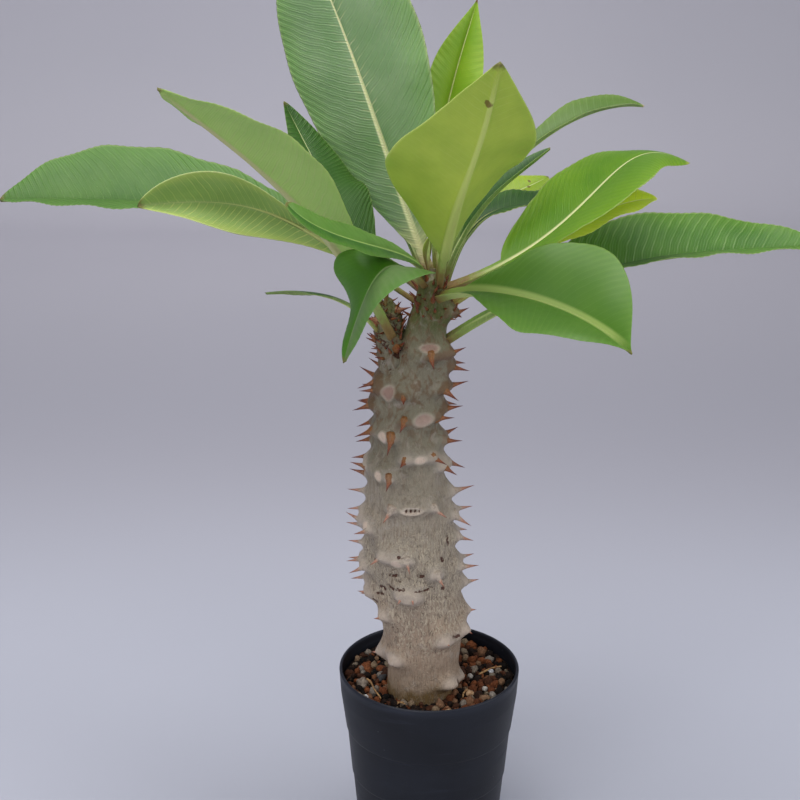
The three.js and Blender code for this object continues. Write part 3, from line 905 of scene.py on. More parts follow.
@dataclass(frozen=True)
class LeafFinish:
    """Skin of a leaf: blade, margin, midrib and veins on both of its sides."""

    name: str
    slot: str
    blade: Colour
    # a darker green for mottling, also painted into the troughs of the quilting as shade
    deep: Colour
    margin: Colour
    rib: Colour = tone(190, 200, 140)
    vein: Colour = tone(132, 164, 96)
    under: Colour = tone(136, 158, 84)
    under_rib: Colour = tone(172, 186, 112)
    stalk: Colour = tone(128, 150, 70)
    tip: Colour = tone(104, 100, 52)
    rib_width: float = 0.8
    taper: float = 0.3
    vein_share: float = 0.22
    fine_share: float = 0.18
    margin_share: float = 0.4
    spur: float = 0.0
    line: float = 0.2
    vein_gap: float = 3.4
    sheen: float = 0.42
    # emission that makes a leaf glow: painted light for light shining through it
    glow: float = 0.0
    relief: float = 0.2
    # a colour for the left half of the blade, painted light and shade for a half that faces the light
    # differently
    left: Optional[Colour] = None
    spots: tuple[Point, ...] = ()
    foot: Colour = tone(122, 74, 50)
    blemish: Colour = tone(96, 62, 30)

    def spotted(self, s: Wire, x: Wire, fray: Wire) -> Wire:
        """Share of brown in the blemishes, from rows of place along, place across and radius.

        Args:
            s: millimetres along the midrib.
            x: millimetres across.
            fray: noise that frays their edges.

        Returns:
            1 inside a blemish and 0 outside.
        """
        total = (s * 0.0).most(0.0)
        for along, across, radius in self.spots:
            near = (s - along) * (s - along) + (x - across) * (x - across)
            away = near.root() + (fray - 0.5) * radius * 1.4
            total = total.most(1 - away.smooth(radius * 0.6, radius))
        return total

    def material(self) -> bpy.types.Material:
        """Builds the finish.

        Returns:
            The material.
        """
        g = ShaderGraph(self.name)
        place = g.place()
        s = g.trait("along")
        x = g.trait("across")
        edge = g.trait("edge")
        under = g.trait("under")
        share = g.trait("share")
        out = abs(x)
        wander = (g.clouds(place, 9, 2) - 0.5) * 2.2
        path = vein_path(s, out) + wander + (x > 0.0) * (self.vein_gap * 0.5)
        wave = (path * (2 * math.pi / self.vein_gap)).cosine()
        patchy = g.clouds(place, 8, 2).smooth(0.36, 0.62)
        main = wave.smooth(0.72, 1.0) * (0.3 + patchy * 0.7) * (1 - edge.smooth(0.75, 1.0) * 0.5)
        fine = (path * (2 * math.pi / self.vein_gap * 3) + wander * 3).cosine().smooth(0.5, 1.0)
        spurs = main * (1 - out.smooth(1.2, 5.5)) * patchy
        bulge = wave.smooth(-0.9, 0.9)
        cloud = g.clouds(place, 14, 3)
        mottle = g.clouds(place, 2.2, 3)
        base = self.blade
        # painted light and shade: the left half gets a colour of its own for how it faces the light
        if self.left is not None:
            base = g.blend(x < 0.0, self.blade, self.left)
        top = g.blend((cloud.smooth(0.3, 0.72) * 0.6 + mottle * 0.2) * (1 - edge * 0.3), base, self.deep)
        top = g.blend(edge.smooth(0.45, 1.0) * self.margin_share, top, self.margin)
        # painted shade: the troughs between the quilted bulges are painted darker near the margins
        top = g.blend((1 - bulge) * 0.24 * edge.smooth(0.1, 0.8), top, self.deep)
        top = g.blend(fine * self.fine_share * 0.5, top, self.vein)
        top = g.blend(main * self.vein_share, top, self.vein)
        top = g.blend(spurs * self.spur, top, self.rib)
        low = g.blend(cloud.smooth(0.3, 0.75) * 0.35 + mottle * 0.15, self.under, self.deep)
        low = g.blend(edge.smooth(0.6, 1.0) * 0.4, low, self.margin)
        low = g.blend(fine * 0.1 + main * (self.vein_share + 0.08), low, self.under_rib)
        colour = g.blend(under, top, low)
        rib_half = share.smooth(0.0, 0.9, self.rib_width, self.rib_width * self.taper)
        rib = 1 - (out / rib_half).smooth(0.5, 1.2)
        rib_colour = g.blend(under, self.rib, self.under_rib)
        colour = g.blend(rib * (1 - share.smooth(0.86, 1.0)), colour, rib_colour)
        rim = edge.smooth(0.95, 0.995)
        colour = g.blend(rim * self.line, colour, self.rib)
        bare = 1 - share.smooth(0.04, 0.2)
        colour = g.blend(bare * 0.92, colour, self.stalk)
        foot = 1 - (s + (mottle - 0.5) * 8).smooth(3, 13)
        colour = g.blend(foot * 0.75, colour, self.foot)
        colour = g.blend((share + (mottle - 0.5) * 0.02).smooth(0.975, 0.995), colour, self.tip)
        if self.spots:
            colour = g.blend(self.spotted(s, x, mottle) * 0.8, colour, self.blemish)
        height = bulge * (edge.smooth(0.1, 0.9) * 0.35 + 0.15) - main * 0.3 - fine * 0.14 + mottle * 0.12
        height = height - rib * 0.25 * (1 - under)
        return g.dress(
            colour, self.sheen + mottle * 0.12 + under * 0.18, height * 0.5 + 0.5, self.relief,
            Specular_IOR_Level=0.4, Subsurface_Weight=0.12, Subsurface_Scale=0.0025,
            Subsurface_Radius=(0.5, 1.0, 0.2), Emission_Strength=self.glow,
        )


@dataclass
class PotBuild:
    """The pot: thin wall, faint steps, rounded rim, floor with drain holes."""

    wall: float = 1.3
    floor: float = 1.8
    rim_middle: float = 87.3
    rim_rise: float = 0.68
    sides: int = 192
    # height and outside radius
    outside: tuple[tuple[float, float], ...] = (
        (0.0, 28.7), (39.6, 32.2), (40.2, 32.6), (61.4, 34.4), (62.0, 34.9), (77.6, 36.9), (87.4, 37.5),
    )
    hole_count: int = 6
    hole_radius: float = 2.5
    hole_circle: float = 19.0
    hole_sides: int = 32
    rod_ends: tuple[float, float] = (-2.0, 4.0)

    def radius(self, z: float) -> float:
        """Outside radius at a height."""
        heights, radii = zip(*self.outside)
        return float(np.interp(z, heights, radii))

    def outline(self) -> list[tuple[float, float, float]]:
        """Radius, height and rim share of each ring, from the underside's middle round to the floor's.

        Returns:
            A row for each ring of the wall.
        """
        line = [(r, 0.0, 0.0) for r in (2.0, 10.0, 16.0, 22.0, 27.0, self.outside[0][1] - 0.7)]
        line += [(self.outside[0][1] - 0.2, 0.2, 0.0), (self.outside[0][1] + 0.05, 0.8, 0.0)]
        steps = [2, 8, 14, 20, 26, 32, 37, 39.3, 39.6, 39.9, 40.2, 40.8, 46, 52, 58, 61, 61.4, 61.7, 62, 62.6]
        steps += [66, 70, 74, 77.2, 77.6, 78, 80, 82, 84, 85.6, 86.4]
        line += [(self.radius(z), float(z), ramp(z, 84.5, 86.4)) for z in steps]
        middle = self.outside[-1][1] - self.wall / 2
        for turn in range(0, 181, 20):
            across = math.cos(math.radians(turn)) * self.wall / 2
            rise = math.sin(math.radians(turn)) * self.rim_rise
            line.append((middle + across, self.rim_middle + rise, 1.0))
        for z in (86.2, 84, 82, 80, 77.6, 70, 62, 50, 40, 26, 12, 3.0):
            line.append((self.radius(z) - self.wall, float(z), 0.0))
        line.append((self.radius(2) - self.wall - 0.9, self.floor, 0.0))
        return line + [(r, self.floor, 0.0) for r in (24.0, 18.0, 10.0, 2.0)]

    def drill(self) -> bpy.types.Object:
        """Makes upright rods in one mesh, to cut the drain holes with.

        Returns:
            The rods.
        """
        points, faces = [], []
        low, high = ((0, 0, end) for end in self.rod_ends)
        for azimuth in around(self.hole_count):
            middle = outward(azimuth) * self.hole_circle
            ring = outward(around(self.hole_sides)) * self.hole_radius + middle
            base = len(points)
            points += np.vstack([ring + low, ring + high, middle + low, middle + high]).tolist()
            faces += [tuple(base + corner for corner in face) for face in loft_faces(2, self.hole_sides)]
        return placed("drain_rods", new_mesh("drain_rods", np.array(points), faces))

    def build(self) -> bpy.types.Object:
        """Turns the wall, drills it and dresses it.

        Returns:
            The pot.
        """
        line = np.array(self.outline())
        turn = around(self.sides)
        rings = outward(turn)[None] * line[:, 0, None, None] + np.array([0, 0, 1.0]) * line[:, 1, None, None]
        points = np.vstack([rings.reshape(-1, 3), (0, 0, 0), (0, 0, self.floor)])
        rim = np.append(np.repeat(line[:, 2], self.sides), (0, 0))
        mesh = new_mesh("pot_wall", points, loft_faces(len(line), self.sides), {"rim": rim})
        pot = new_piece(mesh, PotPlastic().material())
        rods = self.drill()
        cut = pot.modifiers.new("drain", "BOOLEAN")
        cut.object = rods
        cut.solver = "EXACT"
        settled(pot, cut)
        bpy.data.objects.remove(rods)
        return dressed(pot, "pot_plastic", "pot")


@dataclass(frozen=True)
class Grains:
    """Loose grains of one range of sizes.

    Spacing, the smallest and largest half size and the lift off the bed are millimetres.
    A higher value of dark makes more grains dark, and pale is the palest tone.
    """

    name: str
    spacing: float
    small: float
    large: float
    lift: float
    dark: float
    pale: float
    seed: int

    def values(self) -> dict[str, float]:
        """What the grain tree is given, with lengths in metres.

        Returns:
            A value for each of its named inputs.
        """
        return {
            "Spacing": self.spacing * MM, "Small": self.small * MM, "Large": self.large * MM,
            "Lift": self.lift * MM, "Dark": self.dark, "Pale": self.pale, "Seed": self.seed,
        }


@dataclass
class SoilBuild:
    """The fill of the pot: a crumbly bed, loose grains on it and a few stray bits."""

    pot: PotBuild = field(default_factory=PotBuild)
    top: float = 81.7
    bottom: float = 2.13
    sides: int = 160
    rings: int = 60
    gap: float = 0.25
    crumb_kinds: int = 5
    grains: tuple[Grains, ...] = (
        Grains("grains_fine", 1.1, 0.45, 1.1, lift=0.1, dark=1.25, pale=0.86, seed=3),
        Grains("grains_coarse", 2.7, 1.2, 2.7, lift=0.7, dark=0.85, pale=0.95, seed=17),
    )

    def bed(self) -> bpy.types.Mesh:
        """The closed body of the fill, crumbly on top.

        Returns:
            Its mesh.
        """
        turn = around(self.sides)
        heights = [self.bottom, 12, 26, 40, 62, 72, 78, self.top - 1.2]
        fit = self.pot.wall + self.gap
        rings = [outward(turn) * (self.pot.radius(z) - fit) + (0, 0, z) for z in heights]
        edge = self.pot.radius(self.top) - fit
        for i in range(self.rings, 0, -1):
            ring = outward(turn) * (edge * i / self.rings) + (0, 0, self.top)
            ring[:, 2] += 0.75 * lumps(ring, 3.2) + 0.4 * lumps(ring, 1.3, 5.0)
            rings.append(ring)
        points = np.vstack([np.vstack(rings), (0, 0, self.bottom), (0, 0, self.top)])
        # the bed gets the dark end of the tones: painted shade in the gaps between the loose grains
        bed_shade_tones = 0.24 + 0.14 * lumps(points, 4.0, 9.0)
        return new_mesh("soil_bed", points, loft_faces(len(rings), self.sides), {"tone": bed_shade_tones})

    def grain_tree(self) -> GeometryTree:
        """Writes the tree that strews grains on the top of the bed.

        Returns:
            The tree.
        """
        tree = GeometryTree("soil_grains", {
            "Object": ["Bed"], "Int": ["Seed"],
            "Float": ["Spacing", "Small", "Large", "Dark", "Pale", "Lift", "Reach"],
        })
        given = tree.given
        bed = tree.shown("Bed")
        place = tree.node("GeometryNodeInputPosition")
        flat = place * (1, 1, 0)
        away = tree.node("ShaderNodeVectorMath", {"operation": "LENGTH"}, {0: flat}, 1)
        facing = tree.node("GeometryNodeInputNormal").part(2)
        on_top = (facing > 0.3) * (place.part(2) > (self.top - 2.2) * MM) * (away < given("Reach"))
        strewn = tree.node("GeometryNodeDistributePointsOnFaces", {"distribute_method": "POISSON"}, {
            "Mesh": bed, "Selection": on_top, "Distance Min": given("Spacing"), "Density Max": 900000.0,
            "Seed": given("Seed"),
        })
        lifted = tree.node("GeometryNodeSetPosition", {}, {
            "Geometry": strewn, "Offset": tree.node("ShaderNodeCombineXYZ", {}, {2: given("Lift")}),
        })
        chance = tree.chance(0.0, 1.0, given("Seed") + 1)
        toned = tree.store(lifted, "tone", chance ** given("Dark") * given("Pale"))
        shape = tree.node("GeometryNodeMeshIcoSphere", {}, {"Radius": 1.0, "Subdivisions": 2})
        heap = tree.gathered([self.crumb(tree, shape, 1.7 * i) for i in range(self.crumb_kinds)])
        spun = tree.node("FunctionNodeRandomValue", {"data_type": "FLOAT_VECTOR"}, {
            0: (0, 0, 0), 1: (6.28, 6.28, 6.28), 8: given("Seed") + 2,
        })
        size = tree.chance(0.0, 1.0, given("Seed") + 3)
        scale = given("Small") + (given("Large") - given("Small")) * (size ** 1.8)
        kind = tree.node("FunctionNodeRandomValue", {"data_type": "INT"}, {
            4: 0, 5: self.crumb_kinds - 1, 8: given("Seed") + 4,
        }, 2)
        picked = tree.node("GeometryNodeInstanceOnPoints", {}, {
            "Points": toned, "Instance": heap, "Pick Instance": True, "Instance Index": kind,
            "Rotation": spun, "Scale": scale,
        })
        tree.finish(picked)
        return tree

    @staticmethod
    def crumb(tree: GeometryTree, ball: Wire, shift: float) -> Wire:
        """A ball pushed into the shape of a crumb.

        Args:
            tree: the tree it is made in.
            ball: a ball of radius one.
            shift: picks another shape.

        Returns:
            The crumb's geometry.
        """
        place = tree.node("GeometryNodeInputPosition")
        bumps = tree.node("ShaderNodeTexNoise", {}, {"Vector": place + shift, "Scale": 1.9, "Detail": 3.0})
        squash = (1.0, 0.82, 0.72)
        moved = place * squash * (bumps * 1.7 + 0.2)
        return tree.node("GeometryNodeSetPosition", {}, {"Geometry": ball, "Position": moved})

    def build(self) -> list[bpy.types.Object]:
        """Makes the bed, its grains and the stray bits.

        Returns:
            Every piece of the fill.
        """
        finish = SoilMix().material()
        bed = new_piece(self.bed(), finish)
        tree = self.grain_tree()
        reach = (self.pot.radius(self.top) - self.pot.wall - 0.9) * MM
        made = [dressed(bed, "soil", "soil")]
        for grains in self.grains:
            values = grains.values() | {"Bed": bed, "Reach": reach, "Material": finish}
            made.append(dressed(tree.run(grains.name, values), "soil"))
        return made + StrayBits().build()


@dataclass(frozen=True)
class Pebble:
    """A loose stone or bead on the soil: its place, half sizes, turn and how lumpy it is."""

    name: str
    at: Point
    half: Point
    turn: float = 0.0
    lumpy: float = 0.12
    finish: str = "pale"


@dataclass(frozen=True)
class Straw:
    """A dry stalk on the soil: its two ends, its bow and its radius."""

    name: str
    start: Point
    end: Point
    bow: float = 1.2
    radius: float = 0.5


@dataclass
class StrayBits:
    """Beads, stones and straws that lie on the soil."""

    pebbles: tuple[Pebble, ...] = (
        Pebble("bead_white", (-26.2, -18.2, 83.2), (1.3, 1.2, 1.1), lumpy=0.08, finish="white"),
        Pebble("bead_right", (26.0, 2.4, 83.5), (1.3, 1.3, 1.2), lumpy=0.08, finish="white"),
        Pebble("bead_far", (17.2, -1.6, 83.4), (1.25, 1.2, 1.2), lumpy=0.08, finish="pale"),
        Pebble("bead_edge", (22.8, -11.6, 83.3), (1.2, 1.2, 1.1), lumpy=0.08, finish="pale"),
        Pebble("stone_tan", (-27.6, -8.6, 84.0), (2.1, 2.7, 2.4), 20, 0.22, "grey"),
        Pebble("stone_grey", (-21.8, -12.2, 83.4), (1.6, 1.5, 1.4), 0, 0.2, "grey"),
        Pebble("stone_slate", (-19.4, -3.2, 83.6), (1.8, 1.6, 1.6), 40, 0.2, "slate"),
        Pebble("stone_front", (7.6, -30.6, 83.2), (3.0, 1.7, 1.5), 8, 0.12, "tan"),
        Pebble("chip_orange", (16.4, -16.4, 84.0), (1.7, 1.4, 1.4), 30, 0.2, "tan"),
    )
    straws: tuple[Straw, ...] = (
        Straw("straw_left", (-25.8, -8.6, 86.2), (-20.2, -19.6, 83.4), 0.9, 0.42),
        Straw("straw_right", (20.8, -0.6, 83.8), (30.2, 2.2, 86.0), 0.7, 0.42),
        Straw("straw_foot", (-13.6, -22.8, 83.4), (-10.2, -27.4, 85.4), 0.5, 0.3),
        Straw("straw_fork", (-10.8, -24.2, 84.4), (-13.4, -26.4, 84.8), 0.4, 0.25),
        Straw("stick_orange", (15.4, -13.6, 84.2), (13.2, -19.6, 84.0), 0.6, 0.5),
    )

    @staticmethod
    def stone(row: Pebble) -> bpy.types.Mesh:
        """One rounded, lumpy stone.

        Args:
            row: its place and shape.

        Returns:
            Its mesh.
        """
        rings, sides = 13, 20
        lift = np.linspace(-90, 90, rings + 2)[1:-1]
        turn = around(sides)
        ring = outward(turn)[None] * np.cos(np.radians(lift))[:, None, None]
        ring = ring + np.array([0, 0, 1.0]) * np.sin(np.radians(lift))[:, None, None]
        ball = np.vstack([ring.reshape(-1, 3), (0, 0, -1), (0, 0, 1)])
        swell = 1 + row.lumpy * 2 * lumps(ball, 1.1, row.at[0]) + row.lumpy * lumps(ball, 0.5, row.at[1])
        body = ball * swell[:, None] * row.half
        along, aside = math.cos(math.radians(row.turn)), math.sin(math.radians(row.turn))
        spin = np.array([[along, -aside, 0], [aside, along, 0], [0, 0, 1]])
        return new_mesh(row.name, body @ spin.T + row.at, loft_faces(rings, sides))

    @staticmethod
    def stalk(row: Straw) -> bpy.types.Mesh:
        """One bowed dry stalk.

        Args:
            row: its ends and shape.

        Returns:
            Its mesh.
        """
        share = np.linspace(0, 1, 14)
        start, end = np.array(row.start), np.array(row.end)
        path = start + (end - start) * share[:, None]
        path[:, 2] += row.bow * np.sin(math.pi * share)
        path[:, 0] += 0.35 * row.bow * np.sin(2.4 * math.pi * share)
        radii = row.radius * (1 - 0.35 * share + 0.12 * np.sin(9 * share))
        points, faces = tube(path, radii)
        return new_mesh(row.name, points, faces)

    def build(self) -> list[bpy.types.Object]:
        """Makes and dresses every stray bit.

        Returns:
            Their pieces.
        """
        finishes = {
            "white": PlainStuff("bead_white", tone(214, 214, 216), tone(170, 170, 176), 0.8),
            "pale": PlainStuff("bead_pale", tone(178, 172, 164), tone(140, 132, 124), 0.8),
            "grey": PlainStuff("stone_grey", tone(150, 136, 122), tone(104, 92, 82), 1.2),
            "slate": PlainStuff("stone_slate", tone(66, 66, 68), tone(44, 42, 42), 1.2),
            "tan": PlainStuff("stone_tan", tone(184, 152, 118), tone(146, 108, 74), 1.4),
            "straw": PlainStuff("dry_straw", tone(168, 132, 88), tone(120, 84, 52), 1.6),
        }
        looks = {key: finish.material() for key, finish in finishes.items()}
        made = [dressed(new_piece(self.stone(row), looks[row.finish]), "soil") for row in self.pebbles]
        return made + [dressed(new_piece(self.stalk(row), looks["straw"]), "soil") for row in self.straws]


class Mark(Enum):
    """What is left where an old leaf fell."""

    FRESH = "fresh"
    HOLLOW = "hollow"


@dataclass(frozen=True)
class Node:
    """A node of the stem: height, azimuth, angle to the thorn on each side, thorn length."""

    z: float
    azimuth: float
    spread: float
    thorn: float

    def sides(self) -> list[float]:
        """Azimuths of its thorns."""
        return [self.azimuth - self.spread, self.azimuth + self.spread] if self.spread else [self.azimuth]


@dataclass(frozen=True)
class Scar:
    """A mark on the bark: height, azimuth, width, height of it, and kind."""

    z: float
    azimuth: float
    width: float
    tall: float
    mark: Mark = Mark.FRESH


@dataclass(frozen=True)
class Thorn:
    """A thorn: where it stands, where it points, how long it is."""

    root: np.ndarray
    aim: np.ndarray
    length: float


@dataclass
class StemBuild:
    """The stem: its bark with cushions and scars, its side shoot and its thorns."""

    # height, centre x, centre y, radius
    root: tuple[float, float, float, float] = (58.0, -3.6, -9.0, 13.8)
    line: tuple[tuple[float, float, float, float], ...] = (
        (84, -3.6, -9, 13.8), (95, -2.8, -9, 14.4), (108, -2.7, -9, 15.9), (122, -4.2, -8.8, 16.9),
        (140, -7, -8.4, 16.9), (158, -8.4, -8, 15.9), (174, -9.2, -8, 14.4), (190, -9.4, -7.6, 12.2),
        (206, -9, -7.2, 11.2), (216, -7, -7, 10.8), (226, -4.4, -7, 9.4), (236, -2.4, -6.8, 8),
        (248, 0, -6.6, 6.6), (256, 0.2, -6.5, 5), (260, 0.2, -6.5, 1.6),
    )
    # height, azimuth, angle to the thorn on each side, thorn length
    front: tuple[tuple[float, float, float, float], ...] = (
        (87.5, 82, 0, 2.4), (90, 45, 0, 0), (100, -84, 0, 3.2), (101, -43, 0, 0), (112, 28, 0, 2.6),
        (113, 66, 0, 2.6), (121, -51, 0, 3.4), (127, -84, 0, 4.6), (131, 88, 0, 5.5), (133, -10, 6, 3.2),
        (139, -90, 12, 7), (139, 92, 13, 7), (141, 29, 0, 5.5), (148, -22, 17, 5.5), (151, 96, 12, 6.5),
        (157, -76, 16, 7.4), (161, 88, 11, 7.4), (168, 7, 30, 6), (170, 90, 0, 8), (180, -60, 34, 7),
        (183, 72, 10, 6.8), (188, 20, 24, 6), (192, 94, 14, 7.6), (196, -52, 26, 7.4), (203, 26, 32, 6.4),
        (205, 96, 14, 7.6), (206, -97, 12, 7.6), (213, -44, 30, 7), (214, 72, 12, 8), (216, -92, 10, 9),
        (222, 92, 13, 7.4), (228, 44, 26, 6.6), (243, 84, 0, 5.4),
    )
    scars: tuple[Scar, ...] = (
        Scar(213.5, -44, 4.6, 5.6), Scar(203.3, 27, 6.4, 5.0), Scar(196, -43, 4.0, 4.4),
        Scar(188, 20, 3.9, 3.2), Scar(180, -49, 3.9, 4.0), Scar(168, 5, 7.6, 3.2, Mark.HOLLOW),
        Scar(158.5, -64, 3.0, 3.4), Scar(146.5, -18, 3.6, 3.0), Scar(231.5, 13, 6.0, 2.8),
    )
    # height, azimuth, half width in degrees, half height
    scabs: tuple[tuple[float, float, float, float], ...] = (
        (141, -27, 8, 0.7), (142, 10, 5, 0.8), (138.6, -20, 4, 0.7), (136, -24, 16, 0.6),
        (135.6, 13, 13, 0.6), (134, 40, 4, 0.9), (133, -50, 8, 0.9), (146, 45, 4, 1.3), (152, 62, 3, 2.2),
        (130, -58, 9, 0.8), (113, 47, 8, 0.9), (115, 74, 5, 0.8), (91, 56, 4, 1.2), (126, -66, 7, 0.9),
        (144, -58, 4, 0.9), (149, -14, 4, 0.8), (138, 120, 20, 0.8), (147, 160, 16, 0.9),
        (131, 200, 22, 0.8), (158, 230, 12, 0.9),
    )
    # height, azimuth, lift, half width in degrees, half height
    swellings: tuple[tuple[float, float, float, float, float], ...] = (
        (131.5, -8, 1.5, 17, 3.4), (103, -62, 0.9, 40, 2.2), (110, 46, 0.8, 44, 2.0),
        (90, 62, 0.9, 34, 2.4), (146, -20, 0.9, 26, 2.4), (160, -70, 0.8, 26, 3.0),
        (124, 170, 0.9, 60, 2.4), (106, 200, 0.8, 70, 2.2),
    )
    sides: int = 240
    step: float = 0.55
    seed: int = 5
    scale_count: int = 10
    scale_seed: int = 31
    scale_depth: float = 1.9
    spine_length: float = 4.4
    # rise, half width and half height
    pad: Point = (1.3, 5.5, 4.0)
    cushion: Point = (2.0, 3.8, 3.6)
    peak: float = 3.5
    peak_cap: float = 4.8
    plain_cap: float = 3.4

    def nodes(self) -> list[Node]:
        """Every node of the stem, front and back.

        Returns:
            The nodes.
        """
        found = [Node(*row) for row in self.front]
        for i in range(16):
            wander = (i * GOLDEN_TURN) % 140 - 70
            found.append(Node(118 + 7.2 * i, 180 + wander, 20 + 0.5 * i, 3.5 if i < 2 else 7))
        return found

    def value(self, column: int, z: np.ndarray) -> np.ndarray:
        """A smooth value from the stem's table.

        Args:
            column: 1 and 2 for the centre, 3 for the radius.
            z: heights.

        Returns:
            The value at each height.
        """
        table = np.array(self.line)
        z = np.clip(np.asarray(z, float), table[0, 0], table[-1, 0])
        upper = np.clip(np.searchsorted(table[:, 0], z), 1, len(table) - 1)
        share = (z - table[upper - 1, 0]) / (table[upper, 0] - table[upper - 1, 0])
        picks = [table[np.clip(upper + k, 0, len(table) - 1), column] for k in (-2, -1, 0, 1)]
        before, low, high, after = picks
        start, end = (high - before) / 2, (after - low) / 2
        cubic = 2 * low - 2 * high + start + end
        square = -3 * low + 3 * high - 2 * start - end
        return ((cubic * share + square) * share + start) * share + low

    def centre(self, z: np.ndarray) -> np.ndarray:
        """The middle of the stem at heights."""
        z = np.asarray(z, float)
        return np.stack([self.value(1, z), self.value(2, z), z], -1)

    def cushions(self, z: np.ndarray, azimuth: np.ndarray, radius: np.ndarray, sharp: bool) -> np.ndarray:
        """Swellings under the thorns and scars.

        Args:
            z: heights.
            azimuth: azimuths.
            radius: plain radius there.
            sharp: peaked cushions, as they show, and not the plain ones that thorns stand on.

        Returns:
            Height of the swelling at each place.
        """
        total = np.zeros_like(z, dtype=float)
        for node in self.nodes():
            swollen = [(node.azimuth, self.pad, False)]
            swollen += [(turn, self.cushion, sharp) for turn in node.sides()]
            for turn, (tall, wide, high), peaked in swollen:
                reach = np.where(z < node.z, 0.72, 1.2) * high if sharp else high
                away = (np.radians(wrapped(azimuth - turn)) * radius / wide) ** 2
                away += ((z - node.z) / reach) ** 2
                total += self.peak * np.exp(-1.3 * away ** 0.68) if peaked else tall * np.exp(-away)
        if sharp:
            for height, turn, lift, wide, high in self.swellings:
                away = (wrapped(azimuth - turn) / wide) ** 2 + ((z - height) / high) ** 2
                total += lift * np.exp(-away)
        # the foot, where the stem meets the soil, stays plain
        return np.minimum(total, self.peak_cap if sharp else self.plain_cap) * ramp(z, 84, 90)

    def bark_point(self, z: float, azimuth: float) -> np.ndarray:
        """The place on the bark that a thorn stands on.

        Args:
            z: its height.
            azimuth: its azimuth.

        Returns:
            The place.
        """
        plain = self.value(3, np.array([z]))
        rise = self.cushions(np.array([z]), np.array([azimuth]), plain, False)
        return (self.centre(np.array([z])) + outward(np.array([azimuth])) * (plain + rise)[:, None])[0]

    def thorns(self) -> list[Thorn]:
        """Every thorn of the main stem.

        Returns:
            The thorns, node by node.
        """
        dice = Dice(self.seed)
        found = []
        for node in self.nodes():
            for side in node.sides():
                # high thorns point further up, and those at the front a little down
                climb = float(ramp(node.z, 190, 240)) * 14
                front = max(math.cos(math.radians(side)), 0.0)
                pitch = math.radians(mix(-24, 22, dice.roll()) + climb * (1 - front) - 16 * front)
                flare = np.sign(side - node.azimuth) * 14 + 8 * (dice.roll() - 0.5)
                if not node.thorn:
                    continue
                size = node.thorn * mix(0.92, 1.08, dice.roll())
                found.append(Thorn(self.bark_point(node.z, side), pointing(side + flare, pitch), size))
        return found

    def scales(self) -> list[Thorn]:
        """Pointed scales that stand around the growing tip.

        Returns:
            The scales.
        """
        dice = Dice(self.scale_seed)
        found = []
        for i in range(self.scale_count):
            z = mix(244, 256, i / (self.scale_count - 1))
            azimuth = -50 + GOLDEN_TURN * i
            pitch = math.radians(mix(38, 76, dice.roll()))
            foot = self.value(3, np.array(z)) - self.scale_depth
            root = self.centre(np.array(z)) + outward(np.array(azimuth)) * foot
            found.append(Thorn(root, pointing(azimuth, pitch), mix(5, 8.5, dice.roll())))
        return found

    def bark(self) -> bpy.types.Mesh:
        """The bark's closed mesh, with what the finish needs for each point.

        Returns:
            The mesh.
        """
        low, x, y, radius = self.root
        start, end = self.line[0][0], self.line[-1][0]
        heights = np.arange(start, end, self.step)
        turn = around(self.sides)
        z, azimuth = np.meshgrid(heights, turn, indexing="ij")
        plain = self.value(3, z)
        rise = self.cushions(z, azimuth, plain, True)
        body = self.centre(z) + outward(azimuth) * plain[..., None]
        relief = 0.22 * lumps(body * (1, 1, 0.5), 5.0) + 0.1 * lumps(body * (1, 1, 0.35), 1.6, 3.0)
        relief += 0.3 * lumps(body * (0.4, 0.4, 1.4), 9.0, 7.0)
        marks = self.marks(z, azimuth, plain)
        out = rise + relief * (1 - marks["scar"]) + marks.pop("lift")
        surface = body + outward(azimuth) * out[..., None]
        foot = outward(turn) * radius + (x, y, low)
        waist = outward(turn) * radius + (x, y, start - 4)
        points = np.vstack([foot, waist, surface.reshape(-1, 3), (x, y, low), self.centre(end)])
        cushion = ramp(rise, 0.7, 3.3)
        traits = {"cushion": cushion, **marks}
        ends = np.zeros(2 * self.sides)
        kept = {key: np.concatenate([ends, value.ravel(), [0, 0]]) for key, value in traits.items()}
        return new_mesh("stem_bark", points, loft_faces(len(heights) + 2, self.sides), kept)

    def marks(self, z: np.ndarray, azimuth: np.ndarray, radius: np.ndarray) -> dict[str, np.ndarray]:
        """Scars and scabs on the bark.

        Args:
            z: heights.
            azimuth: azimuths.
            radius: plain radius there.

        Returns:
            Shares of scar, rim and scab, and the lift of the surface in millimetres.
        """
        scar, rim, scab, lift = (np.zeros_like(z) for _ in range(4))
        for row in self.scars:
            across = np.radians(wrapped(azimuth - row.azimuth)) * radius / (row.width / 2)
            up = (z - row.z) / (row.tall / 2)
            away = np.sqrt(across ** 2 + up ** 2)
            disc = 1 - ramp(away, 0.8, 1.12)
            ring = np.exp(-((away - 1.05) / 0.2) ** 2)
            if row.mark is Mark.HOLLOW:
                rim = np.maximum(rim, np.exp(-((away - 0.85) / 0.24) ** 2))
                pulse = (np.cos((across + 0.1) * 15) * 0.5 + 0.5) ** 1.5
                holes = np.exp(-(up / 0.5) ** 4) * pulse * (1 - ramp(np.abs(across), 0.68, 0.9))
                scab = np.maximum(scab, holes * 1.4)
                scar = np.maximum(scar, disc * (up < 0) * 0.7)
                lift += 0.5 * ring - 0.9 * holes
            else:
                scar = np.maximum(scar, disc)
                rim = np.maximum(rim, ring * 0.45)
                lift += 0.3 * ring - 0.25 * disc
        for height, turn, half_turn, half_tall in self.scabs:
            across = wrapped(azimuth - turn) / half_turn
            up = (z - height + 0.6 * np.sin(np.radians(azimuth) * 9)) / half_tall
            patch = np.exp(-(across ** 4 + up ** 2))
            scab = np.maximum(scab, patch * 1.1)
            lift -= 0.35 * patch
        return {"scar": scar, "rim": rim, "scab": scab, "lift": lift}

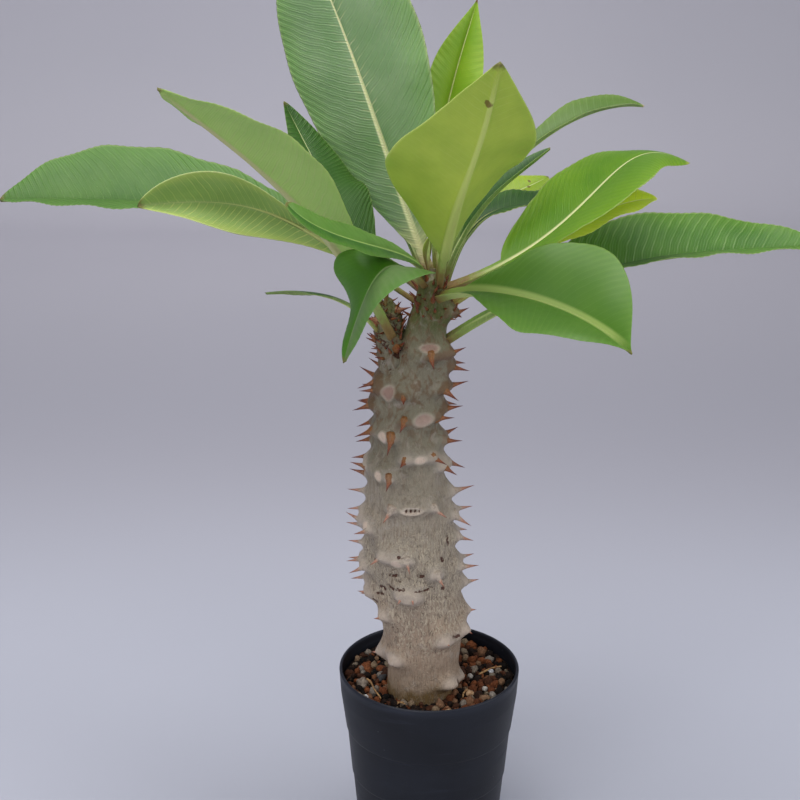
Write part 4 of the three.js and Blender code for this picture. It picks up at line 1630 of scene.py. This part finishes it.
    def build(self) -> list[bpy.types.Object]:
        """Makes the bark, the side shoot and the thorns.

        Returns:
            Every piece of the stem.
        """
        finish = Bark().material()
        horn = ThornHorn().material()
        bark = dressed(new_piece(self.bark(), finish), "bark", "stem")
        shoot = ShootBuild()
        body = dressed(new_piece(shoot.body(), finish), "bark")
        tree = ThornRule().tree()
        found = self.thorns() + self.scales() + shoot.thorns()
        thorns = dressed(ThornRule().plant(tree, "thorns", found, horn), "bark")
        spines = SpineRule().tree()
        made = [bark, body, thorns]
        crowded = (("spines_shoot", body, 226.0, 2.5, 4), ("spines_crown", bark, 241.0, 2.9, 9))
        for name, base, above, gap, seed in crowded:
            values = {
                "Base": base, "From": above * MM, "Gap": gap * MM, "Long": self.spine_length * MM,
                "Seed": seed, "Material": horn,
            }
            made.append(dressed(spines.run(name, values), "bark"))
        return made


@dataclass
class ShootBuild:
    """The short side shoot on the left, rough with old stalk bases."""

    # centre x, centre y, height, radius
    line: tuple[tuple[float, float, float, float], ...] = (
        (-10, -6, 208, 8), (-13.5, -6.4, 222, 7), (-16, -6.6, 234, 5.8), (-16.6, -6.8, 243, 4.8),
        (-16.6, -6.8, 248, 1.4),
    )
    pit: Point = (-12.9, -12.8, 228.0)
    pit_radius: float = 1.7
    sides: int = 96
    rings: int = 90
    thorn_count: int = 5
    thorn_length: float = 5.6
    thorn_seed: int = 23

    def row(self, share: np.ndarray) -> np.ndarray:
        """Centre and radius at shares of the way up.

        Args:
            share: the shares.

        Returns:
            Three places and the radius for each share.
        """
        table = np.array(self.line, float)
        places = np.linspace(0, 1, len(table))
        return np.stack([np.interp(share, places, table[:, k]) for k in range(4)], -1)

    def body(self) -> bpy.types.Mesh:
        """The shoot's closed mesh.

        Returns:
            The mesh.
        """
        share = np.linspace(0, 1, self.rings)
        turn = around(self.sides)
        rows = self.row(share)
        ring = rows[:, None, :3] + outward(turn)[None] * rows[:, None, 3:4]
        knobs = 0.9 * np.abs(lumps(ring, 3.0, 2.0)) + 0.35 * lumps(ring, 1.1, 4.0)
        ring = ring + outward(turn)[None] * (knobs - 0.2)[..., None]
        points = np.vstack([ring.reshape(-1, 3), rows[0, :3], rows[-1, :3] + (0, 0, 1)])
        far = np.linalg.norm(points - np.array(self.pit), axis=1)
        hollow = np.exp(-((far / self.pit_radius) ** 4))
        points[:, 1] += 1.6 * hollow
        rust = np.clip(0.42 + 0.8 * lumps(points, 4.0, 1.0), 0, 1) * ramp(points[:, 2], 212, 226)
        zero = np.zeros(len(points))
        # painted shade: the pit is pushed in and darkened with the scab tone
        traits = {"cushion": zero, "scar": zero, "rim": zero, "scab": np.maximum(rust * 0.8, hollow * 2)}
        return new_mesh("stem_shoot", points, loft_faces(self.rings, self.sides), traits)

    def thorns(self) -> list[Thorn]:
        """The larger thorns of the shoot.

        Returns:
            The thorns.
        """
        dice = Dice(self.thorn_seed)
        found = []
        for i in range(self.thorn_count):
            share = mix(0.3, 0.8, i / (self.thorn_count - 1))
            azimuth = -120 + GOLDEN_TURN * i
            row = self.row(np.array(share))
            aim = pointing(azimuth, math.radians(mix(5, 45, dice.roll())))
            found.append(Thorn(row[:3] + outward(np.array(azimuth)) * row[3], aim, self.thorn_length))
        return found


@dataclass
class ThornRule:
    """One horn shape, set on every place a thorn stands.

    Its profile is for a length of one. Its width grows from the least one by a share of
    the thorn's length.
    """

    sides: int = 10
    least: float = 2.8
    share: float = 0.42
    # height and radius of each ring
    profile: tuple[tuple[float, float], ...] = (
        (-0.28, 0.4), (-0.06, 0.335), (0.06, 0.25), (0.2, 0.17), (0.38, 0.115), (0.58, 0.072),
        (0.78, 0.038), (0.93, 0.012),
    )

    def horn(self) -> bpy.types.Mesh:
        """A horn of length one, slightly bent, its foot sunk below zero.

        Returns:
            Its mesh.
        """
        turn = around(self.sides)
        rings = []
        for height, radius in self.profile:
            bend = 0.07 * max(height, 0.0) ** 2
            rings.append(outward(turn) * (radius, radius * 1.12, 0) + (0, bend, height))
        points = np.vstack([np.vstack(rings), (0, 0, -0.28), (0, 0.07, 1)])
        reach = points[:, 2]
        return new_mesh("horn", points / MM, loft_faces(len(rings), self.sides), {"reach": reach})

    def tree(self) -> GeometryTree:
        """Writes the tree that sets horns on points with an aim and a size.

        Returns:
            The tree.
        """
        tree = GeometryTree("thorn_setting", {"Object": ["Points", "Horn"]})
        aimed = tree.node("FunctionNodeAlignRotationToVector", {"axis": "Z"}, {
            "Vector": tree.read("aim", "FLOAT_VECTOR"),
        })
        size = tree.read("size")
        wide = tree.read("wide")
        set_out = tree.node("GeometryNodeInstanceOnPoints", {}, {
            "Points": tree.shown("Points"), "Instance": tree.shown("Horn"), "Rotation": aimed,
            "Scale": tree.node("ShaderNodeCombineXYZ", {}, {0: wide, 1: wide, 2: size}),
        })
        tree.finish(set_out)
        return tree

    def plant(
        self, tree: GeometryTree, name: str, found: Sequence[Thorn], material: bpy.types.Material
    ) -> bpy.types.Object:
        """Sets a horn at each thorn.

        Args:
            tree: the thorn tree.
            name: the new piece's name.
            found: the thorns.
            material: their finish.

        Returns:
            The piece.
        """
        sizes = np.array([thorn.length for thorn in found])
        traits = {
            "aim": np.array([thorn.aim for thorn in found]),
            "size": sizes * MM,
            "wide": (self.least + self.share * sizes) * MM,
        }
        marks = new_mesh("thorn_places", np.array([thorn.root for thorn in found]), [], traits)
        helpers = [placed(mesh.name, mesh) for mesh in (marks, self.horn())]
        piece = tree.run(name, {"Points": helpers[0], "Horn": helpers[1], "Material": material})
        for helper in helpers:
            bpy.data.objects.remove(helper)
        return piece


@dataclass
class SpineRule:
    """Short soft spines that crowd a growing point."""

    def tree(self) -> GeometryTree:
        """Writes the tree that strews spines over a piece above a height.

        Returns:
            The tree.
        """
        tree = GeometryTree("spine_strewing", {
            "Object": ["Base"], "Float": ["From", "Gap", "Long"], "Int": ["Seed"],
        })
        given = tree.given
        base = tree.shown("Base")
        height = tree.node("GeometryNodeInputPosition").part(2)
        points = tree.node("GeometryNodeDistributePointsOnFaces", {"distribute_method": "POISSON"}, {
            "Mesh": base, "Selection": height > given("From"), "Distance Min": given("Gap"),
            "Density Max": 600000.0, "Seed": given("Seed"),
        })
        normal = points.also(1)
        wild = tree.node("FunctionNodeRandomValue", {"data_type": "FLOAT_VECTOR"}, {
            0: (-0.5, -0.5, 0.0), 1: (0.5, 0.5, 1.3), 8: given("Seed"),
        })
        aimed = tree.node("FunctionNodeAlignRotationToVector", {"axis": "Z"}, {"Vector": normal + wild})
        spine = tree.node("GeometryNodeMeshCone", {}, {
            "Vertices": 6, "Side Segments": 3, "Radius Top": 0.03, "Radius Bottom": 0.17, "Depth": 1.0,
        })
        sunk = tree.node("GeometryNodeInputPosition").part(2)
        marked = tree.store(spine, "reach", sunk)
        size = given("Long") * tree.chance(0.45, 1.0, given("Seed") + 2)
        set_out = tree.node("GeometryNodeInstanceOnPoints", {}, {
            "Points": points, "Instance": marked, "Rotation": aimed,
            "Scale": tree.node("ShaderNodeCombineXYZ", {}, {0: size, 1: size, 2: size}),
        })
        tree.finish(set_out)
        return tree


@dataclass(frozen=True)
class Leaf:
    """One leaf.

    The midrib runs through four points: leaving the stem, a third and two thirds along,
    and the tip. The face is the way the upper side looks, and twist turns it on the way
    to the tip. Width is measured flat, folds are how far the left and right halves stand
    up at the base, and open is the share of that left at the tip.
    """

    name: str
    width: float
    fold: tuple[float, float]
    bare: float
    rib: tuple[Point, Point, Point, Point]
    face: Point
    wave: float
    finish: str
    widest: float = 0.57
    blunt: float = 0.8
    open: float = 0.7
    twist: float = 0.0
    relief: float = 0.14
    gap: float = 3.4
    node: bool = True


@dataclass
class CrownBuild:
    """The crown of leaves, all grown by one rule."""

    leaves: tuple[Leaf, ...] = (
        Leaf("back_large", 59, (-11, 21), 0.08,
             ((0.6, -4, 254), (-16.6, 5, 299.7), (-33.1, 17, 344.1), (-53, 32, 387)),
             (-0.24, -0.96, 0.17), 0.6, "sheen", widest=0.59, blunt=0.6, open=0.9, relief=0.13),
        Leaf("upper_right", 24, (46, 58), 0.12,
             ((1.6, -2.4, 250), (2.4, 18.3, 293.2), (8.5, 26.8, 325.6), (17.4, 30.9, 355.9)),
             (0.13, -0.98, 0.16), 0.3, "bright", widest=0.6, blunt=1.2, relief=0.05),
        Leaf("front_up", 56, (79, 43), 0.1,
             ((2.8, -9, 254.4), (7, -50, 291), (12.8, -63.9, 312.8), (19, -81.5, 345)),
             (0.11, 0.23, 0.97), 0.4, "olive", widest=0.46, blunt=0.85, open=0.15, relief=0.03),
        Leaf("far_right", 20, (50, 60), 0.2,
             ((2, -4, 254), (25, 16.5, 289.5), (56, 34.5, 309.8), (85.4, 46.3, 313.5)),
             (-0.43, -0.31, 0.85), 0.3, "far", widest=0.7, blunt=1.1, open=0.4, relief=0.06),
        Leaf("back_small", 9, (55, 55), 0.2,
             ((2.5, -4, 248), (13.5, -5, 276), (28, -2.5, 292.2), (43.9, 3, 304.1)),
             (-0.4, -0.3, 0.85), 0.2, "dark", relief=0.05),
        Leaf("right_mid", 57, (61, 16), 0.14,
             ((3, -8, 252), (47.5, -11, 278), (70.5, -8, 300), (94.5, -8, 300.2)),
             (-0.17, 0.03, 0.98), 0.3, "lush", widest=0.46, blunt=0.63, open=-0.2, relief=0.06),
        Leaf("right_long", 44, (60, 37), 0.3,
             ((1.5, -8.5, 230), (48.4, -3.5, 253.5), (97.4, 13, 260.4), (153.5, 14.9, 264.3)),
             (-0.18, -0.13, 0.98), 0.5, "deep", widest=0.43, blunt=0.71, open=0.62, relief=0.08),
        Leaf("front_right", 53, (56, 19), 0.1,
             ((1, -9, 249), (21, -39.8, 259.9), (45.4, -58, 258.1), (63.1, -93, 253.6)),
             (-0.13, -0.11, 0.99), 0.4, "broad", widest=0.58, blunt=1.41, relief=0.03),
        Leaf("right_yellow", 27, (34, 30), 0.16,
             ((2.5, -6.5, 243), (37, -5, 266), (62, -5, 281), (84, -3, 286)),
             (-0.2, -0.35, 0.9), 0.9, "gold", relief=0.05),
        Leaf("right_small", 20, (30, 30), 0.2,
             ((2.5, -4.5, 242), (17, 16, 272), (35, 24, 278), (58, 29, 284)),
             (-0.3, -0.2, 0.9), 0.6, "edged", relief=0.08),
        Leaf("right_tiny", 17, (20, 20), 0.22,
             ((0, -2, 242), (15, 30, 267.6), (32, 40.5, 278.8), (48, 48, 284.8)),
             (-0.3, -0.5, 0.8), 0.4, "spotted", widest=0.66, relief=0.04),
        Leaf("left_long", 53, (14, 52), 0.16,
             ((-2.5, -1.5, 249.5), (-57.5, 43, 266.8), (-121.2, 49, 274.5), (-175, 46, 275.7)),
             (0, 0, 1), 0.5, "mid", widest=0.61, blunt=0.9, open=1.15, relief=0.08),
        Leaf("left_under", 34, (-33, -33), 0.12,
             ((-3, -5, 245.5), (-44.3, 7, 269.8), (-74.3, 11, 280.5), (-111.8, 4, 281.2)),
             (0.33, 0.85, 0.42), 0.3, "shade", widest=0.7, blunt=0.64, open=1.35, twist=60, relief=0.1),
        Leaf("left_up", 53, (2, 61), 0.12,
             ((-15, -10.4, 234), (-40.3, -38.2, 282.1), (-66.7, -56.7, 313.2), (-88.6, -78.5, 336.7)),
             (0.05, 0.63, 0.78), 0.5, "light", widest=0.55, blunt=1.04, relief=0.05),
        Leaf("left_dark", 36, (58, -18), 0.12,
             ((-16, -5.5, 238), (-35.5, -9.5, 284), (-44, 1, 299), (-55.5, 8, 320.4)),
             (0.42, -0.89, -0.16), 0.4, "herring", widest=0.31, blunt=0.75, open=0.8, relief=0.2, gap=2.6),
        Leaf("front_narrow", 15, (2, 36), 0.2,
             ((-1, -8, 248.4), (-8, -19, 266.8), (-28.2, -62, 283.9), (-48.3, -85, 301.4)),
             (0.31, -0.24, 0.92), 0.3, "narrow", widest=0.62, blunt=0.62, relief=0.05),
        Leaf("front_droop", 40, (-15, 53), 0.28,
             ((-2.2, -8.5, 254.4), (-13.8, -45, 270.7), (-22.8, -60, 266.5), (-31.8, -68, 242)),
             (0.28, 0.18, 0.94), 0.3, "droop", widest=0.32, blunt=0.89, open=0.3, twist=71, relief=0.03),
        Leaf("left_thin", 15, (6, 6), 0.25,
             ((-16, -7.5, 230), (-30, -8, 246), (-46, -4, 250), (-64, 0, 249)),
             (0, 0.33, 0.95), 0.4, "dark", relief=0.05),
        Leaf("back_hidden", 26, (30, 30), 0.18,
             ((-1.6, -2.4, 251.5), (-12.5, 16, 273), (-21.7, 35, 280.4), (-31.7, 52, 286.5)),
             (0.4, -0.5, 0.75), 0.4, "dark", relief=0.08),
    )
    sprouts: tuple[Leaf, ...] = (
        Leaf("sprout_tall", 7, (74, 74), 0.05,
             ((1.2, -7, 256), (2.4, -8, 264), (3.0, -9, 272), (3.4, -10, 281)),
             (0.2, 0.9, 0.3), 0.1, "sprout", relief=0.0, node=False),
        Leaf("sprout_short", 5, (70, 70), 0.05,
             ((-1.4, -7.4, 256), (-1.8, -9, 263), (-1.6, -10.4, 268), (-1.2, -12, 274)),
             (-0.2, 0.9, 0.3), 0.1, "sprout", relief=0.0, node=False),
        Leaf("sprout_side", 4.6, (66, 66), 0.05,
             ((-16.6, -7.4, 244), (-17.8, -9, 250), (-19, -10.4, 255), (-20, -11.6, 261)),
             (0.4, 0.9, 0.3), 0.1, "sprout", relief=0.0, node=False),
    )
    blade: float = 0.45
    station: float = 0.75
    columns: int = 40

    def finishes(self) -> dict[str, LeafFinish]:
        """The skins of the leaves, by their names without leaf_ in front.

        Returns:
            The finishes.
        """
        # the back leaf's grey-green blade is partly its own colour and partly a painted sheen, the soft
        # light's reflection mixed into it
        sheen = LeafFinish(
            "leaf_sheen", "leaf_sheen", tone(128, 151, 112), tone(98, 132, 82), tone(108, 152, 66),
            rib=tone(212, 212, 160), vein=tone(146, 166, 122), stalk=tone(214, 208, 150), rib_width=1.7,
            taper=0.16, vein_share=0.16, fine_share=0.3, spur=0.35, margin_share=0.55, sheen=0.34,
            relief=0.62,
        )
        bright = LeafFinish(
            "leaf_bright", "leaf_bright", tone(136, 168, 42), tone(104, 146, 28), tone(152, 178, 56),
            rib=tone(200, 206, 136), tip=tone(104, 52, 42), rib_width=0.9, vein_share=0.07,
            fine_share=0.07, relief=0.08,
        )
        mid = LeafFinish(
            "leaf_mid", "leaf_mid", tone(80, 116, 48), tone(58, 98, 32), tone(92, 134, 56),
            vein=tone(126, 154, 96), vein_share=0.26, relief=0.6,
        )
        dark = LeafFinish(
            "leaf_dark", "leaf_dark", tone(52, 90, 30), tone(36, 72, 20), tone(80, 116, 42),
            vein=tone(92, 126, 58),
        )
        olive = LeafFinish(
            "leaf_olive", "leaf_olive", tone(120, 146, 60), tone(126, 150, 52), tone(152, 172, 70),
            under=tone(173, 188, 74), under_rib=tone(182, 194, 104), rib_width=1.5, taper=0.5,
            vein_share=0.08, fine_share=0.06, relief=0.06, spots=((105, 0.8, 1.4),),
        )
        young = LeafFinish(
            "leaf_young", "leaf_young", tone(150, 172, 40), tone(118, 154, 30), tone(168, 184, 62),
            under=tone(160, 182, 56),
        )
        kinds = [
            sheen, bright, mid, dark, olive,
            replace(
                young, name="leaf_spotted", spots=((70, 0.6, 1.4), (73, -2.2, 1.0), (66, 2.2, 0.9)),
            ),
            replace(
                mid, name="leaf_far", blade=tone(88, 114, 50), deep=tone(76, 106, 40),
                margin=tone(116, 140, 70), tip=tone(186, 174, 134), vein_share=0.15, relief=0.12,
            ),
            replace(
                bright, name="leaf_lush", blade=tone(94, 132, 18), deep=tone(70, 114, 12),
                margin=tone(122, 154, 30), rib=tone(204, 206, 150), vein=tone(118, 152, 50),
                tip=tone(140, 150, 60), rib_width=1.3, vein_share=0.1, relief=0.2,
            ),
            # painted shade: the narrow leaf's left half is given a dark green
            replace(
                bright, name="leaf_narrow", blade=tone(104, 142, 66), deep=tone(76, 118, 40),
                left=tone(38, 84, 26), margin=tone(104, 140, 60), rib=tone(150, 176, 100),
                tip=tone(104, 100, 52),
            ),
            replace(
                dark, name="leaf_edged", blade=tone(48, 86, 28), line=0.8, rib=tone(176, 184, 110),
                rib_width=0.5,
            ),
            replace(
                dark, name="leaf_deep", blade=tone(76, 118, 36), deep=tone(52, 94, 26),
                margin=tone(106, 142, 54), vein=tone(132, 160, 96), vein_share=0.32, vein_gap=3.8,
                line=0.3, relief=0.5,
            ),
            replace(
                mid, name="leaf_broad", blade=tone(76, 112, 36), deep=tone(64, 102, 28),
                margin=tone(96, 132, 50), rib=tone(136, 156, 84), rib_width=2.9, taper=0.6,
                vein_share=0.05, fine_share=0.04, line=0.1, relief=0.06,
            ),
            replace(
                olive, name="leaf_shade", under=tone(142, 166, 98), deep=tone(104, 134, 62),
                margin=tone(182, 190, 92), under_rib=tone(188, 196, 116), rib_width=1.3, line=0.6,
                vein_share=0.5, relief=0.35, spots=(),
            ),
            replace(
                olive, name="leaf_light", under=tone(158, 184, 100), deep=tone(132, 166, 80),
                margin=tone(152, 180, 92), under_rib=tone(176, 176, 124), rib_width=1.8, vein_share=0.16,
                relief=0.3, spots=(),
            ),
            replace(
                dark, name="leaf_herring", blade=tone(60, 96, 38), deep=tone(38, 74, 24),
                vein=tone(98, 126, 72), vein_share=0.4, rib_width=0.7, relief=0.6, vein_gap=2.6,
            ),
            # painted light and shade: the drooping leaf's halves differ, dark green as painted shade on one
            # and grey-green as painted sheen on the other
            replace(
                mid, name="leaf_droop", blade=tone(66, 112, 20), deep=tone(66, 108, 36),
                left=tone(100, 122, 76), margin=tone(84, 124, 50), rib=tone(126, 150, 96),
                vein_share=0.05, fine_share=0.05, rib_width=0.9, relief=0.06,
            ),
            # painted light: this leaf lies in shadow, so it gets a very bright yellow-green and an emission
            # glow for the light that shines through it
            replace(
                young, name="leaf_gold", blade=tone(188, 208, 56), deep=tone(160, 188, 40),
                margin=tone(208, 218, 96), under=tone(192, 212, 70), tip=tone(196, 206, 90), glow=0.22,
            ),
            replace(
                young, name="leaf_sprout", blade=tone(126, 134, 60), deep=tone(104, 112, 44),
                under=tone(122, 128, 58), vein_share=0.0, fine_share=0.0, relief=0.05,
            ),
        ]
        return {kind.name.removeprefix("leaf_"): kind for kind in kinds}

    def tree(self) -> GeometryTree:
        """Writes the tree that grows a leaf from its rule.

        Returns:
            The tree.
        """
        tree = GeometryTree("leaf_growth", {
            "Vector": [*RIB, "Face"],
            "Float": [
                "Width", "Left fold", "Right fold", "Open", "Twist", "Bare", "Widest", "Blunt", "Wave",
                "Length", "Left phase", "Right phase", "Vein gap", "Vein relief", "Blade",
            ],
            "Int": ["Stations", "Columns"],
        })
        given = tree.given
        sheet = tree.node("GeometryNodeMeshGrid", {}, {
            "Size X": 1.0, "Size Y": 1.0, "Vertices X": given("Stations"), "Vertices Y": given("Columns"),
        })
        place = tree.node("GeometryNodeInputPosition")
        round_way = abs((place.part(1) + 0.5) * 4 - 2) - 1
        across = round_way - (round_way * (2 * math.pi)).sine() * (0.72 / (2 * math.pi))
        sheet = tree.store(sheet, "under", place.part(1) > 0.0)
        sheet = tree.store(sheet, "side", across)
        sheet = tree.store(sheet, "share", place.part(0) + 0.5)
        t, v = tree.read("share"), tree.read("side")
        shape = self.shape(tree, t, v)
        bent = tree.node("GeometryNodeSetPosition", {}, {"Geometry": sheet, "Position": shape["top"]})
        normal = tree.node("GeometryNodeInputNormal")
        under = tree.read("under")
        down = shape["up"] * -1.0
        square = down.toward(normal, shape["half"].smooth(1.0, 4.0)).unit()
        thick = tree.node("GeometryNodeSetPosition", {}, {
            "Geometry": bent, "Offset": square * (shape["depth"] * under),
        })
        kept = tree.store(thick, "along", t * given("Length"))
        kept = tree.store(kept, "across", v * shape["half"])
        kept = tree.store(kept, "edge", abs(v))
        small = tree.node("GeometryNodeTransform", {}, {"Geometry": kept, "Scale": (MM, MM, MM)})
        whole = tree.node("GeometryNodeMergeByDistance", {}, {"Geometry": small, "Distance": 2e-6})
        tree.finish(whole)
        return tree

    @staticmethod
    def shape(tree: GeometryTree, t: Wire, v: Wire) -> dict[str, Wire]:
        """The leaf's surface as expressions.

        Args:
            tree: the tree it is written in.
            t: share of the way along the midrib.
            v: place across, from -1 at the left margin to 1 at the right.

        Returns:
            Its top, its up direction, its half width and its depth.
        """
        given = tree.given
        point, slope = curve([given(name) for name in RIB], t)
        forward = slope.unit()
        plain = forward.cross(given("Face")).unit()
        turn = given("Twist") * t * (math.pi / 180)
        right = plain * turn.cosine() + forward.cross(plain) * turn.sine()
        up = right.cross(forward)
        grown = ((t - given("Bare")) / (1 - given("Bare"))).most(0.0).least(1.0)
        peak = math.log(0.5) / tree.math("LOGARITHM", given("Widest"), math.e)
        bulge = ((grown ** peak) * math.pi).sine().most(0.0) ** given("Blunt")
        stalk = given("Width") * 0.03 + 0.6
        tipped = t.smooth(0.93, 1.0, 0.4, 0.16)
        half = (given("Width") * 0.5 * bulge).most(stalk * (1 - grown) * (1 - grown)).most(tipped)
        closed = (t > 0.0005) * (t < 0.9995)
        half = half * closed
        is_left = v < 0.0
        fold = given("Right fold") + (given("Left fold") - given("Right fold")) * is_left
        angle = (fold * (1 + (given("Open") - 1) * t) - abs(v) * 10) * (math.pi / 180)
        phase = given("Right phase") + (given("Left phase") - given("Right phase")) * is_left
        run = t * given("Length")
        reach = half * abs(v)
        ripple = (run * 0.24 + phase).sine() * v * v
        path = vein_path(run, reach) + (1 - is_left) * (given("Vein gap") * 0.5)
        ridge = (path * (2 * math.pi) / given("Vein gap")).cosine()
        quilt = ridge * given("Vein relief") * (abs(v).smooth(0.25, 0.85) + (v ** 6.0) * 0.5)
        spot = point + up * (v * half)
        sway = (tree.node("ShaderNodeTexNoise", {}, {"Vector": spot, "Scale": 0.055}) - 0.5) * 1.6
        groove = (reach / 1.1).bell() * 0.22 * grown.smooth(0.0, 0.1)
        rise = reach * angle.sine() + given("Wave") * ripple * (reach / 8).least(1.0)
        rise = rise + (quilt + sway * abs(v)) * (reach / 8).least(1.0) - groove
        top = point + right * (v * half * angle.cosine()) + up * rise
        spine = (t * 1.6).least(1.0) * -1.6 + 2.6
        keel = (spine * (given("Width") * 0.005 + 0.75) - given("Blade")).most(0.35)
        keel_wide = t.smooth(0.0, 0.6, 1.25, 0.75)
        margin = (1 - v ** 12.0).most(0.0).root()
        depth = (given("Blade") * margin + keel * (reach / keel_wide).bell() * margin) * closed
        return {"top": top, "up": up, "half": half, "depth": depth}

    def grow(
        self, tree: GeometryTree, leaf: Leaf, seed: int, material: bpy.types.Material
    ) -> bpy.types.Object:
        """Grows one leaf.

        Args:
            tree: the growth tree.
            leaf: its rule's values.
            seed: picks the phase of its ripples.
            material: its finish.

        Returns:
            The leaf's piece.
        """
        dice = Dice(seed)
        length = self.length(leaf)
        values = dict(zip(RIB, leaf.rib)) | {
            "Face": leaf.face, "Width": leaf.width, "Left fold": leaf.fold[0], "Right fold": leaf.fold[1],
            "Open": leaf.open, "Twist": leaf.twist, "Bare": leaf.bare, "Widest": leaf.widest,
            "Blunt": leaf.blunt, "Wave": leaf.wave, "Length": length, "Left phase": dice.roll() * 6,
            "Right phase": dice.roll() * 6, "Vein gap": leaf.gap, "Vein relief": leaf.relief,
            "Blade": self.blade, "Stations": int(length / self.station) + 2,
            "Columns": 2 * self.columns + 1, "Material": material,
        }
        return tree.run(f"blade_{leaf.name}", values)

    @staticmethod
    def length(leaf: Leaf) -> float:
        """Length of a leaf along its midrib.

        Args:
            leaf: its row.

        Returns:
            The length in millimetres.
        """
        path, _ = curve(np.array(leaf.rib, float), np.linspace(0, 1, 201)[:, None])
        return float(np.linalg.norm(np.diff(path, axis=0), axis=1).sum())

    def build(self) -> list[bpy.types.Object]:
        """Grows the whole crown.

        Returns:
            The pieces of the leaves.
        """
        tree = self.tree()
        finishes = self.finishes()
        looks = {key: finish.material() for key, finish in finishes.items()}
        made = []
        for i, leaf in enumerate(self.leaves + self.sprouts):
            piece = self.grow(tree, leaf, 20 + i, looks[leaf.finish])
            nodes = [f"leaf_{leaf.name}"] if leaf.node else []
            made.append(dressed(piece, finishes[leaf.finish].slot, *nodes))
        return made


@dataclass(frozen=True)
class Paper:
    """Pale grey paper with painted light falloff: painted shade a little behind the plant and towards +X, and
    painted light far off and on the wall.
    """

    near: Colour = tone(182, 184, 196)
    middle: Colour = tone(171, 170, 180)
    far: Colour = tone(212, 209, 217)
    risen: Colour = tone(203, 201, 209)
    haze: Colour = tone(172, 171, 183)

    def material(self) -> bpy.types.Material:
        """Builds the finish.

        Returns:
            The material.
        """
        g = ShaderGraph("studio_paper")
        place = g.place()
        soft = g.clouds(place, 420, 2)
        # painted light and shade: the steps from near to middle to far and up the wall stand for the fall of
        # the light
        colour = g.blend(place.part(1).smooth(0.13, 0.5), self.near, self.middle)
        colour = g.blend(place.part(1).smooth(0.5, 1.2), colour, self.far)
        colour = g.blend(place.part(2).smooth(0.01, 0.2), colour, self.risen)
        colour = g.blend(soft.smooth(0.3, 0.8) * 0.12, colour, self.haze)
        # painted shade: darker towards +X
        colour = g.blend(1.0, colour, 1 - place.part(0).smooth(-0.1, 0.5) * 0.08, "MULTIPLY")
        return g.dress(colour, 0.8, None, 0.0)


@dataclass(frozen=True)
class Lamp:
    """A soft square light: its place, what it shines at, its side, its watts and its colour."""

    name: str
    place: Point
    target: Point
    size: float
    power: float
    colour: Point

    def hang(self) -> None:
        """Puts the light in the scene."""
        light = bpy.data.lights.new(self.name, "AREA")
        light.shape = "SQUARE"
        light.size = self.size * MM
        light.energy = self.power
        light.color = self.colour
        piece = placed(self.name, light)
        piece.location = Vector(self.place) * MM
        away = Vector(self.place) - Vector(self.target)
        piece.rotation_euler = away.to_track_quat("Z", "Y").to_euler()


@dataclass
class Studio:
    """The pale floor, its backdrop, the soft lights and the camera."""

    camera_place: Point = (-12.15, -556.8, 397.9)
    camera_pitch: float = 19.09
    lens: float = 67.5
    sensor: float = 36.0
    sweep_start: float = 1200.0
    sweep_radius: float = 260.0
    reach: float = 4000.0
    wall_top: float = 2200.0
    air: Colour = (0.80, 0.83, 0.92, 1.0)
    air_strength: float = 0.38
    lamps: tuple[Lamp, ...] = (
        Lamp("light_top", (-150, -150, 1250), (0, 0, 200), 900, 11.4, (1.0, 0.99, 0.98)),
        Lamp("light_front", (-500, -1100, 700), (0, 0, 180), 900, 6.2, (0.97, 0.98, 1.0)),
        Lamp("light_right", (1000, -300, 600), (0, 0, 180), 800, 4.1, (0.98, 0.99, 1.0)),
    )

    def floor(self) -> bpy.types.Object:
        """One sheet that is the floor in front and curves up into the backdrop.

        Returns:
            The sheet.
        """
        wall = self.sweep_start + self.sweep_radius
        path = [(-self.reach, 0.0), (self.sweep_start, 0.0)]
        for turn in range(6, 91, 6):
            across, up = math.sin(math.radians(turn)), 1 - math.cos(math.radians(turn))
            path.append((self.sweep_start + self.sweep_radius * across, self.sweep_radius * up))
        path.append((wall, self.wall_top))
        points = [(x, y, z) for y, z in path for x in (-self.reach, self.reach)]
        faces = [(2 * i, 2 * i + 1, 2 * i + 3, 2 * i + 2) for i in range(len(path) - 1)]
        sweep = new_piece(new_mesh("studio_sweep", np.array(points), faces), Paper().material())
        return sweep

    def build(self) -> None:
        """Sets up floor, light and camera."""
        self.floor()
        for lamp in self.lamps:
            lamp.hang()
        world = bpy.data.worlds.new("studio_air")
        world.use_nodes = True
        air = world.node_tree.nodes["Background"]
        air.inputs["Color"].default_value = self.air
        air.inputs["Strength"].default_value = self.air_strength
        bpy.context.scene.world = world
        view = bpy.data.cameras.new("camera")
        view.lens = self.lens
        view.sensor_width = self.sensor
        view.clip_start = 0.01
        view.clip_end = 20.0
        camera = placed("camera", view)
        camera.location = Vector(self.camera_place) * MM
        camera.rotation_euler = (math.radians(90 - self.camera_pitch), 0.0, 0.0)
        bpy.context.scene.camera = camera


def main() -> None:
    """Builds the scene."""
    logging.basicConfig(level=logging.INFO, format="%(message)s")
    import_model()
    bpy.context.scene.view_settings.view_transform = "Standard"
    Studio().build()
    PotBuild().build()
    SoilBuild().build()
    StemBuild().build()
    CrownBuild().build()
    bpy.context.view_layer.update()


if __name__ == "__main__":
    main()
